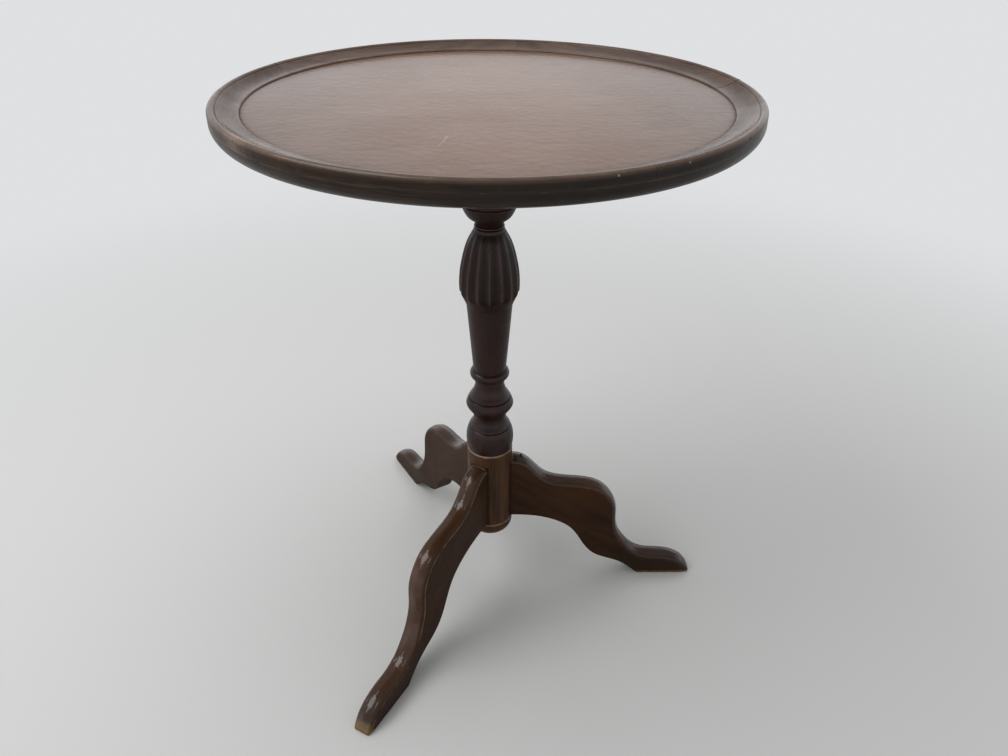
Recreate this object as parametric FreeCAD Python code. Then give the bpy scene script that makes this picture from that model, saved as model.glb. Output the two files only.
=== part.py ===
import FreeCAD, Part
import math
import os

# Tray top tea table: a round board with an applied moulded rim, on a turned and fluted column,
# with three sawn legs let into a drum under the column.
# Millimetres, +Z up. The origin is on the floor, on the axis of the column.
# The right leg points along +X, and the other two stand a third of a turn from it.

# Overall sizes
HEIGHT = 600.0
TOP_DIAMETER = 488.0
FOOT_CIRCLE_DIAMETER = 530.0

# Clearances of the joints, and one overrun for all cuts
GLUE_GAP = 0.1
END_GAP = 1.0
OVERRUN = 2.0

# Top board
BOARD_THICKNESS = 15.5
BOARD_EDGE_LAND = 4.0
BOARD_EDGE_REACH = 15.0
ROUND_MID_SHARE = math.sqrt(0.5)

# Rim moulding, in butted segments let into a shallow rebate along the edge of the board
RIM_RISE = 8.5
RIM_REBATE = 1.0
RIM_WIDTH = 26.0
RIM_SEGMENTS = 5
RIM_JOINT_ANGLE = 10.0
RIM_INNER_STEP = 1.5
RIM_INNER_ROUND = 0.8
BEAD_WIDTH = 7.0
BEAD_FACE_HEIGHT = 5.0
QUIRK_DEPTH = 2.0
QUIRK_WIDTH = 0.9
COVE_MID_REACH_SHARE = 0.5
COVE_MID_RISE_SHARE = 0.22

# Panel pins that hold the rim, driven slantwise through its outer shoulder
RIM_PIN_SPREAD_SHARES = (0.1, 0.37, 0.9)
RIM_PIN_DIAMETER = 1.8
RIM_PIN_LENGTH = 15.0
RIM_PIN_SLOPE = 45.0
RIM_PIN_RISE = 6.0

# Cleat across the grain under the board, with its screws
CLEAT_LENGTH = 300.0
CLEAT_WIDTH = 66.0
CLEAT_THICKNESS = 20.0
CLEAT_BEVEL_RUN = 34.0
CLEAT_BEVEL_RISE = 10.0
CLEAT_SCREW_SPACING = 190.0
CLEAT_SCREW_OFFSET = 38.0
SCREW_HEAD_DIAMETER = 8.4
SCREW_SHANK_DIAMETER = 4.2
SCREW_TIP_DIAMETER = 1.6
SCREW_HEAD_DEPTH = 3.2
SCREW_TIP_LENGTH = 6.0
SCREW_BITE = 11.0

# Column: heights of its turned features, from the drum upwards
# The shaft, the bulb and the stem keep their proportions and share what the short features leave
SPIGOT_RADIUS = 9.0
SPIGOT_LENGTH = 60.0
URN_HEIGHT = 43.5
KNOP_HEIGHT = 40.5
RING_HEIGHT = 22.0
SHAFT_HEIGHT = 78.0
BULB_HEIGHT = 80.0
COLLAR_HEIGHT = 7.0
BOWL_HEIGHT = 27.0
STEM_HEIGHT = 57.0
TENON_RADIUS = 12.0
GROOVE_WIDTH = 1.8
GROOVE_DEPTH = 1.1

# Column: radii of its turned features, from the drum upwards
URN_FOOT_RADIUS = 25.3
URN_RADIUS = 27.0
URN_NECK_RADIUS = 18.3
KNOP_RADIUS = 26.4
KNOP_NECK_RADIUS = 16.2
RING_RADIUS = 21.6
SHAFT_FOOT_RADIUS = 18.0
SHAFT_HEAD_RADIUS = 24.3
BULB_FOOT_RADIUS = 24.4
BULB_RADIUS = 31.2
BULB_HEAD_RADIUS = 16.6
COLLAR_RADIUS = 16.2
BOWL_NECK_RADIUS = 13.7
BOWL_RADIUS = 28.0
STEM_RADIUS = 21.5
STEM_FLANGE_RADIUS = 31.0
STEM_FLANGE_HEIGHT = 5.0

# Turned outlines as (height share of the feature, share of the way from its small to its large radius)
URN_SWELL_SHARES = (
    (0.0, 0.8), (0.115, 0.92), (0.207, 0.983), (0.32, 1.0), (0.437, 0.954), (0.53, 0.862), (0.65, 0.65),
)
URN_SHOULDER_SHARES = ((0.69, 0.58), (0.76, 0.36), (0.81, 0.2), (0.87, 0.07), (0.94, 0.0), (1.0, 0.0))
KNOP_SWELL_SHARES = (
    (0.0, 0.0), (0.06, 0.1), (0.136, 0.27), (0.235, 0.6), (0.333, 0.91), (0.395, 1.0), (0.45, 0.95),
    (0.51, 0.84), (0.58, 0.69),
)
KNOP_NECK_SHARES = (
    (0.62, 0.66), (0.68, 0.53), (0.76, 0.32), (0.83, 0.19), (0.9, 0.09), (0.96, 0.03), (1.0, 0.0),
)
RING_NECK_SHARE = 0.4
RING_BODY_SHARE = 0.9
BULB_FOOT_SHARE = 0.1875
COLLAR_BAND_SHARE = 0.5
COLLAR_TOP_SHARE = 0.65
BOWL_SWELL_SHARES = ((0.04, 0.0), (0.15, 0.16), (0.3, 0.52), (0.45, 0.73), (0.6, 0.87), (0.78, 1.0))
STEM_COVE_SHARES = ((0.0, 0.04), (0.2, 0.0), (0.55, 0.12), (0.82, 0.5), (1.0, 1.0))

# Flutes of the bulb: (height share, radius share, depth share) from the shoulder up, and below it
FLUTES = 16
FLUTE_DEPTH = 2.0
FLUTE_ARRIS_ANGLE = -90.0
FLUTE_ARRIS_SHARE = 0.09
BULB_UPPER_SHARES = (
    (0.0, 0.985, 1.0), (0.1, 1.0, 1.0), (0.246, 0.972, 1.0), (0.37, 0.915, 1.0), (0.49, 0.82, 0.95),
    (0.615, 0.7, 0.88), (0.74, 0.55, 0.72), (0.86, 0.355, 0.45), (0.94, 0.17, 0.2), (1.0, 0.0, 0.0),
)
BULB_LOWER_SHARES = ((0.0, 0.0, 0.0), (0.68, 0.65, 0.0), (0.84, 0.82, 0.45), (1.0, 0.985, 1.0))

# Wedge in the tenon
WEDGE_THICKNESS = 3.0
WEDGE_LENGTH = 16.0
WEDGE_POINT_SHARE = 0.35

# Drum that carries the legs, and the cap that closes it
DRUM_RADIUS = 26.0
DRUM_ABOVE_LEG = 16.0
DRUM_BELOW_LEG = 3.0
DRUM_EDGE_ROUND = 1.2
CAP_RADIUS = 26.6
CAP_HEIGHT = 20.0
CAP_FLAT_RADIUS = 12.0
CAP_EDGE_HEIGHT = 6.0
CAP_EDGE_ROUND = 1.0
CAP_SPIGOT_RADIUS = 7.0
CAP_SPIGOT_LENGTH = 14.0

# Legs: sawn to one outline, drawn out a little on two of them, and let into the drum with dovetails
LEG_NAMES = ("leg_right", "leg_back", "leg_front")
LEG_REACH_SHARES = (0.96, 1.03, 1.03)
LEG_HEIGHT = 185.0
LEG_ROOT_HEIGHT = 85.0
LEG_THICKNESS = 22.0
LEG_TOP_ROUND = 4.0
LEG_UNDER_ROUND = 1.5
TONGUE_LENGTH = 12.0
TONGUE_ROOT_WIDTH = 9.0
TONGUE_END_WIDTH = 12.0
TONGUE_STOP = 14.0
# Control points of the leg's two edges as (share of the reach, share of the height at the drum)
LEG_TOP_SHARES = (
    (0.0, 1.0), (0.045, 1.0), (0.1, 0.955), (0.165, 0.835), (0.27, 0.805), (0.4, 0.8), (0.5, 0.745),
    (0.572, 0.6), (0.556, 0.43), (0.625, 0.265), (0.715, 0.16), (0.84, 0.166), (0.93, 0.135),
    (0.985, 0.075), (1.0, 0.02),
)
LEG_UNDER_SHARES = (
    (0.0, 1.0), (0.09, 1.0), (0.2, 0.96), (0.33, 0.8), (0.385, 0.53), (0.45, 0.32), (0.56, 0.25),
    (0.64, 0.16), (0.705, 0.0),
)
TOE_FOOT_SHARE = 0.996

# Nail through the root of the right leg into the drum
NAIL_DIAMETER = 2.4
NAIL_HEAD_DIAMETER = 4.0
NAIL_HEAD_HEIGHT = 1.2
NAIL_LENGTH = 34.0
NAIL_REACH = 12.0
NAIL_SINK = 1.0
NAIL_SLOPE = 40.0

# Heights and radii that follow
top_radius = TOP_DIAMETER / 2
toe_radius = FOOT_CIRCLE_DIAMETER / 2
field_z = HEIGHT - RIM_RISE
board_z = field_z - BOARD_THICKNESS
cleat_z = board_z - CLEAT_THICKNESS
drum_top_z = LEG_HEIGHT + DRUM_ABOVE_LEG
leg_root_z = LEG_HEIGHT - LEG_ROOT_HEIGHT
drum_z = leg_root_z - DRUM_BELOW_LEG
cap_z = drum_z - CAP_HEIGHT
knop_z = drum_top_z + URN_HEIGHT
ring_z = knop_z + KNOP_HEIGHT
shaft_z = ring_z + RING_HEIGHT
long_features = SHAFT_HEIGHT + BULB_HEIGHT + STEM_HEIGHT
long_stretch = (cleat_z - shaft_z - COLLAR_HEIGHT - BOWL_HEIGHT) / long_features
bulb_z = shaft_z + SHAFT_HEIGHT * long_stretch
collar_z = bulb_z + BULB_HEIGHT * long_stretch
bowl_z = collar_z + COLLAR_HEIGHT
stem_z = bowl_z + BOWL_HEIGHT
bulb_shoulder_z = bulb_z + BULB_FOOT_SHARE * (collar_z - bulb_z)
inner_radius = top_radius - RIM_WIDTH
seat_z = field_z - RIM_REBATE
segment_angle = 360.0 / RIM_SEGMENTS

ORIGIN = FreeCAD.Vector(0, 0, 0)
Z_AXIS = FreeCAD.Vector(0, 0, 1)


def at(radius, z):
    """A point of an outline in the XZ plane."""
    return FreeCAD.Vector(radius, 0, z)


def line(start, end):
    return Part.LineSegment(start, end).toShape()


def arc(start, middle, end):
    return Part.Arc(start, middle, end).toShape()


def curve(points):
    spline = Part.BSplineCurve()
    spline.interpolate(points)
    return spline.toShape()


def sawn(points):
    """A smooth curve that is drawn towards its control points."""
    spline = Part.BSplineCurve()
    spline.buildFromPoles(points)
    return spline.toShape()


def chain(*points):
    """Straight edges from point to point."""
    return [line(a, b) for a, b in zip(points, points[1:])]


def face_of(edges):
    return Part.Face(Part.Wire(edges))


def turned(edges, angle=360.0):
    """Revolve a closed outline about the axis of the column."""
    return face_of(edges).revolve(ORIGIN, Z_AXIS, angle)


def spun(shape, angle):
    copy = shape.copy()
    copy.rotate(ORIGIN, Z_AXIS, angle)
    return copy


def cylinder(radius, z, length):
    return Part.makeCylinder(radius, length, at(0, z), Z_AXIS)


def stretch(shares, z, height, small, large):
    """Points of a turned stretch from its table of shares."""
    return [at(small + share * (large - small), z + rise * height) for rise, share in shares]


def grooved(edges, next_point):
    """Cut a small incised line into the outline between its end and the next point."""
    end = edges[-1].lastVertex().Point
    middle = (end + next_point) * 0.5
    edges += chain(end, at(middle.x - GROOVE_DEPTH, middle.z), next_point)


def board_solid():
    rim = top_radius
    land_z = field_z - BOARD_EDGE_LAND
    flat = rim - BOARD_EDGE_REACH
    middle = at(flat + BOARD_EDGE_REACH * ROUND_MID_SHARE, land_z - (land_z - board_z) * ROUND_MID_SHARE)
    field = inner_radius - GLUE_GAP
    edges = chain(
        at(rim, land_z), at(rim, seat_z), at(field, seat_z), at(field, field_z), at(0, field_z),
        at(0, board_z), at(flat, board_z),
    )
    edges.append(arc(at(flat, board_z), middle, at(rim, land_z)))
    return turned(edges)


def rim_outline():
    rim = top_radius
    bead_top = at(rim - BEAD_WIDTH / 2, HEIGHT)
    bead_face = at(rim, field_z + BEAD_FACE_HEIGHT)
    quirk = at(rim - BEAD_WIDTH, HEIGHT - QUIRK_DEPTH)
    cove_start = at(quirk.x - QUIRK_WIDTH, quirk.z)
    cove_end = at(inner_radius + RIM_INNER_ROUND, field_z + RIM_INNER_STEP)
    cove_middle = at(
        cove_end.x + (cove_start.x - cove_end.x) * COVE_MID_REACH_SHARE,
        cove_end.z + (cove_start.z - cove_end.z) * COVE_MID_RISE_SHARE,
    )
    step = at(inner_radius, field_z + RIM_INNER_STEP - RIM_INNER_ROUND)
    edges = chain(at(rim, seat_z), bead_face)
    edges.append(arc(bead_face, bead_top, quirk))
    edges += chain(quirk, cove_start)
    edges.append(arc(cove_start, cove_middle, cove_end))
    edges += chain(cove_end, step, at(inner_radius, seat_z), at(rim, seat_z))
    return edges


def rim_segment(index):
    gap_angle = math.degrees(GLUE_GAP / top_radius)
    segment = turned(rim_outline(), segment_angle - gap_angle)
    return spun(segment, RIM_JOINT_ANGLE + index * segment_angle + gap_angle / 2)


def rim_pin(spare):
    """A pin from the outer shoulder of the rim at angle zero, slanting inwards into the board."""
    slope = math.radians(RIM_PIN_SLOPE)
    direction = FreeCAD.Vector(-math.cos(slope), 0, -math.sin(slope))
    start = at(top_radius, field_z + RIM_PIN_RISE) - direction * OVERRUN
    return Part.makeCylinder(RIM_PIN_DIAMETER / 2 + spare, RIM_PIN_LENGTH + OVERRUN + spare, start, direction)


def rim_pin_angles():
    starts = [RIM_JOINT_ANGLE + index * segment_angle for index in range(RIM_SEGMENTS)]
    return [start + share * segment_angle for start in starts for share in RIM_PIN_SPREAD_SHARES]


def screw(x, y, spare):
    """A countersunk wood screw, its head flush with the underside of the cleat."""
    head = SCREW_HEAD_DIAMETER / 2 + spare
    shank = SCREW_SHANK_DIAMETER / 2 + spare
    neck_z = cleat_z + SCREW_HEAD_DEPTH
    tip_z = board_z + SCREW_BITE - SCREW_TIP_LENGTH
    end_z = board_z + SCREW_BITE + spare
    points = (
        at(0, cleat_z), at(head, cleat_z), at(shank, neck_z), at(shank, tip_z),
        at(SCREW_TIP_DIAMETER / 2 + spare, end_z), at(0, end_z), at(0, cleat_z),
    )
    body = turned(chain(*points))
    body.translate(FreeCAD.Vector(x, y, 0))
    return body


def screw_places():
    across = CLEAT_SCREW_OFFSET / 2
    along = CLEAT_SCREW_SPACING / 2
    return [(x, y) for x in (-across, across) for y in (-along, along)]


def cleat_solid():
    half = CLEAT_LENGTH / 2
    points = (
        (-half, board_z), (half, board_z), (half, cleat_z + CLEAT_BEVEL_RISE),
        (half - CLEAT_BEVEL_RUN, cleat_z), (CLEAT_BEVEL_RUN - half, cleat_z),
        (-half, cleat_z + CLEAT_BEVEL_RISE), (-half, board_z),
    )
    side = face_of(chain(*[FreeCAD.Vector(-CLEAT_WIDTH / 2, y, z) for y, z in points]))
    bar = side.extrude(FreeCAD.Vector(CLEAT_WIDTH, 0, 0))
    bore = cylinder(TENON_RADIUS + GLUE_GAP, cleat_z - OVERRUN, CLEAT_THICKNESS + OVERRUN + OVERRUN)
    return bar.cut([bore] + [screw(x, y, GLUE_GAP) for x, y in screw_places()])


def column_base():
    """Spigot, urn, knop, ring and tapered shaft, up to the foot of the bulb."""
    spigot_z = drum_top_z - SPIGOT_LENGTH
    urn_swell = stretch(URN_SWELL_SHARES, drum_top_z, URN_HEIGHT, URN_NECK_RADIUS, URN_RADIUS)
    urn_shoulder = stretch(URN_SHOULDER_SHARES, drum_top_z, URN_HEIGHT, URN_NECK_RADIUS, URN_RADIUS)
    knop_swell = stretch(KNOP_SWELL_SHARES, knop_z, KNOP_HEIGHT, URN_NECK_RADIUS, KNOP_RADIUS)
    knop_neck = stretch(KNOP_NECK_SHARES, knop_z, KNOP_HEIGHT, KNOP_NECK_RADIUS, KNOP_RADIUS)
    urn_swell[0] = at(URN_FOOT_RADIUS, drum_top_z)
    ring_lower_z = ring_z + RING_NECK_SHARE * RING_HEIGHT
    ring_upper_z = ring_z + RING_BODY_SHARE * RING_HEIGHT
    ring_lower = at(KNOP_NECK_RADIUS, ring_lower_z)
    ring_upper = at(SHAFT_FOOT_RADIUS, ring_upper_z)
    edges = chain(
        at(0, spigot_z), at(SPIGOT_RADIUS, spigot_z), at(SPIGOT_RADIUS, drum_top_z),
        at(URN_FOOT_RADIUS, drum_top_z),
    )
    edges.append(curve(urn_swell))
    grooved(edges, urn_shoulder[0])
    edges.append(curve(urn_shoulder))
    edges.append(curve(knop_swell))
    grooved(edges, knop_neck[0])
    edges.append(curve(knop_neck))
    edges += chain(at(KNOP_NECK_RADIUS, ring_z), ring_lower)
    edges.append(arc(ring_lower, at(RING_RADIUS, (ring_lower_z + ring_upper_z) / 2), ring_upper))
    edges += chain(
        ring_upper, at(SHAFT_FOOT_RADIUS, shaft_z), at(SHAFT_HEAD_RADIUS, bulb_z), at(0, bulb_z),
        at(0, spigot_z),
    )
    return turned(edges)


def flute_section(z, radius, depth):
    """One level of the bulb: hollows between narrow arrises."""
    pitch = 360.0 / FLUTES
    hollow = pitch * (1 - FLUTE_ARRIS_SHARE)
    start = FLUTE_ARRIS_ANGLE + pitch * FLUTE_ARRIS_SHARE / 2

    def on(r, degrees):
        turn = math.radians(degrees)
        return FreeCAD.Vector(r * math.cos(turn), r * math.sin(turn), z)

    edges = []
    for index in range(FLUTES):
        a = start + index * pitch
        edges.append(arc(on(radius, a), on(radius - depth, a + hollow / 2), on(radius, a + hollow)))
        edges.append(arc(on(radius, a + hollow), on(radius, a + (hollow + pitch) / 2), on(radius, a + pitch)))
    return Part.Wire(edges)


def fluted(shares, z, height, small, large):
    """A loft of the bulb through the levels of one table."""
    levels = [
        flute_section(z + rise * height, small + share * (large - small), depth * FLUTE_DEPTH)
        for rise, share, depth in shares
    ]
    return Part.makeLoft(levels, True, False)


def column_head():
    """Collar, bowl, stem and tenon above the bulb."""
    bowl = stretch(BOWL_SWELL_SHARES, bowl_z, BOWL_HEIGHT, BOWL_NECK_RADIUS, BOWL_RADIUS)
    flange_z = cleat_z - STEM_FLANGE_HEIGHT
    stem = stretch(STEM_COVE_SHARES, stem_z, flange_z - stem_z, STEM_RADIUS, STEM_FLANGE_RADIUS)
    tenon_z = board_z - GLUE_GAP
    collar_top = COLLAR_TOP_SHARE * (COLLAR_RADIUS - BOWL_NECK_RADIUS)
    band_z = collar_z + COLLAR_BAND_SHARE * COLLAR_HEIGHT
    bead = at(BOWL_NECK_RADIUS + collar_top, band_z + GROOVE_WIDTH)
    bead_middle = at(
        BOWL_NECK_RADIUS + collar_top * ROUND_MID_SHARE, bead.z + (bowl_z - bead.z) * ROUND_MID_SHARE
    )
    edges = chain(at(0, tenon_z), at(0, collar_z), at(COLLAR_RADIUS, collar_z), at(bead.x, band_z))
    grooved(edges, bead)
    edges.append(arc(bead, bead_middle, at(BOWL_NECK_RADIUS, bowl_z)))
    edges += chain(at(BOWL_NECK_RADIUS, bowl_z), bowl[0])
    edges.append(curve(bowl))
    grooved(edges, at(BOWL_RADIUS, bowl[-1].z + GROOVE_WIDTH))
    edges += chain(edges[-1].lastVertex().Point, at(BOWL_RADIUS, stem_z), stem[0])
    edges.append(curve(stem))
    edges += chain(
        stem[-1], at(STEM_FLANGE_RADIUS, cleat_z), at(TENON_RADIUS, cleat_z), at(TENON_RADIUS, tenon_z),
        at(0, tenon_z),
    )
    return turned(edges)


def wedge_solid(spare):
    """A wedge driven down into the end of the tenon."""
    tenon_z = board_z - GLUE_GAP
    point_z = tenon_z - WEDGE_LENGTH - spare
    thick = WEDGE_THICKNESS / 2 + spare
    thin = thick * WEDGE_POINT_SHARE
    width = TENON_RADIUS + OVERRUN
    points = ((-thick, tenon_z), (thick, tenon_z), (thin, point_z), (-thin, point_z), (-thick, tenon_z))
    side = face_of(chain(*[FreeCAD.Vector(-width, y, z) for y, z in points]))
    wedge = side.extrude(FreeCAD.Vector(2 * width, 0, 0))
    return wedge if spare else wedge.common(cylinder(TENON_RADIUS, point_z, WEDGE_LENGTH))


def column_solid():
    upper = fluted(
        BULB_UPPER_SHARES, bulb_shoulder_z, collar_z - bulb_shoulder_z, BULB_HEAD_RADIUS, BULB_RADIUS
    )
    lower = fluted(BULB_LOWER_SHARES, bulb_z, bulb_shoulder_z - bulb_z, BULB_FOOT_RADIUS, BULB_RADIUS)
    whole = column_base().fuse([lower, upper, column_head()]).removeSplitter()
    return whole.cut(wedge_solid(GLUE_GAP / 2))


def tongue(spare):
    """Dovetail tongue of a leg, or with some spare the housing that it slides into."""
    end = DRUM_RADIUS - TONGUE_LENGTH - spare
    root = DRUM_RADIUS + OVERRUN
    end_half = TONGUE_END_WIDTH / 2 + spare
    root_half = TONGUE_ROOT_WIDTH / 2 + spare
    bottom = drum_z - OVERRUN if spare else leg_root_z
    height = LEG_HEIGHT - TONGUE_STOP + spare - bottom
    shoulder = DRUM_RADIUS - GLUE_GAP
    points = (
        (end, -end_half), (shoulder, -root_half), (root, -root_half), (root, root_half),
        (shoulder, root_half), (end, end_half), (end, -end_half),
    )
    plan = face_of(chain(*[FreeCAD.Vector(x, y, bottom) for x, y in points]))
    return plan.extrude(FreeCAD.Vector(0, 0, height))


def leg_blank(reach_share):
    """The sawn outline of a leg, thick enough to be scribed round the drum, with its arrises rounded."""
    reach = (toe_radius - DRUM_RADIUS) * reach_share
    half = LEG_THICKNESS / 2
    start = DRUM_RADIUS - half
    top = [at(DRUM_RADIUS + x * reach, z * LEG_HEIGHT) for x, z in LEG_TOP_SHARES]
    under = [at(DRUM_RADIUS + x * reach, z * leg_root_z) for x, z in LEG_UNDER_SHARES]
    toe = at(DRUM_RADIUS + TOE_FOOT_SHARE * reach, 0)
    edges = chain(at(start, leg_root_z), at(start, LEG_HEIGHT), top[0])
    edges.append(sawn(top))
    edges += chain(top[-1], toe, under[-1])
    edges.append(sawn(under[::-1]))
    edges.append(line(under[0], at(start, leg_root_z)))
    blank = face_of(edges).extrude(FreeCAD.Vector(0, LEG_THICKNESS, 0))
    blank.translate(FreeCAD.Vector(0, -half, 0))
    sides = [e for e in blank.Edges if abs(e.CenterOfMass.y) > half / 2]
    sawn_sides = [e for e in sides if isinstance(e.Curve, Part.BSplineCurve)]
    sawn_sides.sort(key=lambda e: e.CenterOfMass.z)
    under_sides = len(sawn_sides) // 2
    blank = blank.makeFillet(LEG_TOP_ROUND, sawn_sides[under_sides:])
    left = [e for e in blank.Edges if any(e.isSame(side) for side in sawn_sides[:under_sides])]
    return blank.makeFillet(LEG_UNDER_ROUND, left)


def leg_solid(reach_share):
    scribe = cylinder(DRUM_RADIUS + GLUE_GAP, 0, HEIGHT)
    return leg_blank(reach_share).cut(scribe).fuse(tongue(0)).removeSplitter()


def drum_solid():
    height = drum_top_z - drum_z
    body = cylinder(DRUM_RADIUS, drum_z, height)
    rims = [e for e in body.Edges if isinstance(e.Curve, Part.Circle)]
    body = body.makeFillet(DRUM_EDGE_ROUND, rims)
    spigot_bore = cylinder(SPIGOT_RADIUS + GLUE_GAP, drum_top_z - SPIGOT_LENGTH - END_GAP, HEIGHT)
    cap_bore = cylinder(CAP_SPIGOT_RADIUS + GLUE_GAP, drum_z - OVERRUN, CAP_SPIGOT_LENGTH + END_GAP + OVERRUN)
    housings = [spun(tongue(GLUE_GAP), angle) for angle in leg_angles()]
    return body.cut([spigot_bore, cap_bore] + housings)


def cap_solid():
    edge_z = drum_z - CAP_EDGE_HEIGHT
    middle = at(
        CAP_FLAT_RADIUS + (CAP_RADIUS - CAP_FLAT_RADIUS) * ROUND_MID_SHARE,
        edge_z - (edge_z - cap_z) * ROUND_MID_SHARE,
    )
    spigot_z = drum_z + CAP_SPIGOT_LENGTH
    edges = chain(at(0, spigot_z), at(0, cap_z), at(CAP_FLAT_RADIUS, cap_z))
    edges.append(arc(at(CAP_FLAT_RADIUS, cap_z), middle, at(CAP_RADIUS, edge_z)))
    edges += chain(
        at(CAP_RADIUS, edge_z), at(CAP_RADIUS, drum_z - CAP_EDGE_ROUND),
        at(CAP_RADIUS - CAP_EDGE_ROUND, drum_z), at(CAP_SPIGOT_RADIUS, drum_z),
        at(CAP_SPIGOT_RADIUS, spigot_z), at(0, spigot_z),
    )
    return turned(edges)


def leg_angles():
    return [index * 360.0 / len(LEG_NAMES) for index in range(len(LEG_NAMES))]


def nail_solid(spare):
    """A nail that slants down through the root of a leg, its head sunk below the surface."""
    slope = math.radians(NAIL_SLOPE)
    direction = FreeCAD.Vector(-math.cos(slope), 0, -math.sin(slope))
    surface = at(DRUM_RADIUS + NAIL_REACH, LEG_HEIGHT)
    start = surface + direction * NAIL_SINK
    head = Part.makeCylinder(NAIL_HEAD_DIAMETER / 2 + spare, NAIL_HEAD_HEIGHT + spare, start, direction)
    shank = Part.makeCylinder(NAIL_DIAMETER / 2 + spare, NAIL_LENGTH + spare, start, direction)
    if not spare:
        return head.fuse(shank).removeSplitter()
    mouth = Part.makeCylinder(NAIL_HEAD_DIAMETER / 2 + spare, NAIL_SINK + LEG_TOP_ROUND, start, -direction)
    return head.fuse([shank, mouth])


def build():
    nail_hole = nail_solid(GLUE_GAP)
    pin_hole = rim_pin(GLUE_GAP / 2)
    pin_holes = [spun(pin_hole, angle) for angle in rim_pin_angles()]
    screw_holes = [screw(x, y, GLUE_GAP / 2) for x, y in screw_places()]
    board = board_solid()
    pin = rim_pin(0).common(board.fuse(turned(rim_outline())))
    nodes = {
        "top_board": board.cut(pin_holes + screw_holes),
        "rim_pins": Part.Compound([spun(pin, angle) for angle in rim_pin_angles()]),
        "cleat": cleat_solid(),
        "cleat_screws": Part.Compound([screw(x, y, 0) for x, y in screw_places()]),
        "column": column_solid(),
        "tenon_wedge": wedge_solid(0),
        "leg_drum": drum_solid().cut(nail_hole),
        "base_cap": cap_solid(),
        "leg_nail": nail_solid(0),
    }
    per_segment = len(RIM_PIN_SPREAD_SHARES)
    for index in range(RIM_SEGMENTS):
        holes = pin_holes[index * per_segment:(index + 1) * per_segment]
        nodes["rim_segment_%d" % (index + 1)] = rim_segment(index).cut(holes)
    for name, angle, share in zip(LEG_NAMES, leg_angles(), LEG_REACH_SHARES):
        nodes[name] = spun(leg_solid(share), angle)
    nodes[LEG_NAMES[0]] = nodes[LEG_NAMES[0]].cut(nail_hole)
    return nodes


os.makedirs("parts", exist_ok=True)
for node, shape in build().items():
    shape.exportStep(os.path.join("parts", node + ".step"))
    print(node, "solids", len(shape.Solids), "volume %.0f" % shape.Volume, "valid", shape.isValid())
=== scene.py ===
import bisect
import math

import bmesh
import bpy
import numpy as np
from bpy.props import FloatProperty, FloatVectorProperty, IntProperty, PointerProperty
from mathutils import Matrix, Vector, noise


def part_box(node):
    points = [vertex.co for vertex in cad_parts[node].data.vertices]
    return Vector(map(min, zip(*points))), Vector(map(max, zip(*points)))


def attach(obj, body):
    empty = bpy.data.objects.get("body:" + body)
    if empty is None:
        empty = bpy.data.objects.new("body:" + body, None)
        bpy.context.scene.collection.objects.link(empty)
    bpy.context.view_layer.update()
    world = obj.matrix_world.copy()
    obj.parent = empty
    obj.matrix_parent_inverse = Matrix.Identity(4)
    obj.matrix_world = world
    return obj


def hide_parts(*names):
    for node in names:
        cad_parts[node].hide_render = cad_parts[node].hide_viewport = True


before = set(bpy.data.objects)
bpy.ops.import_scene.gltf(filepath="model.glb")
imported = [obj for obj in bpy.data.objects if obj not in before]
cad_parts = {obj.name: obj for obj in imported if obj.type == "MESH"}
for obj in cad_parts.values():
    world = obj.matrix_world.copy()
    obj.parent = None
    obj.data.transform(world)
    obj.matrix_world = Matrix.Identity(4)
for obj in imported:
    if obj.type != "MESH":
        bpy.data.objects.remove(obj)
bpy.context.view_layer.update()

bl_info = {
    "name": "Tray Top Tea Table",
    "version": (1, 0, 0),
    "blender": (4, 5, 0),
    "location": "View3D > Sidebar > Tea Table",
    "description": "Dresses a tray top tea table: varnished field, moulded rim, fluted column and sawn legs",
    "category": "Add Mesh",
}

# Metres and radians; +Z is up, the column stands on the Z axis and the right leg points along +X.
TURN = 2 * math.pi
HALF_WAY = math.sqrt(0.5)
BODY = "root"

BOARD_LOW, BOARD_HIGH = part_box("top_board")
CLEAT_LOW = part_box("cleat")[0]
COLUMN_LOW, COLUMN_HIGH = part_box("column")
DRUM_LOW, DRUM_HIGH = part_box("leg_drum")
CAP_LOW, CAP_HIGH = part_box("base_cap")
LEG_LOW, LEG_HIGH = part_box("leg_right")
NAIL_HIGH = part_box("leg_nail")[1]
RIM_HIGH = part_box("rim_segment_1")[1]

RIM_NODES = sorted(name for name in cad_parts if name.startswith("rim_segment"))
LEG_NODES = ("leg_right", "leg_back", "leg_front")
LEG_TURNS = [TURN * k / len(LEG_NODES) for k in range(len(LEG_NODES))]

# Camera of the photograph, which is 1008 by 756 pixels
PHOTO_WIDTH = 1008
PHOTO_FOCAL = 815.0
SENSOR_WIDTH = 36.0
CAMERA_PLACE = (0.0, -0.758, 0.7758)
CAMERA_PITCH = math.radians(32.58)
CAMERA_YAW = math.radians(1.19)
CAMERA_ROLL = math.radians(0.5)

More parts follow.
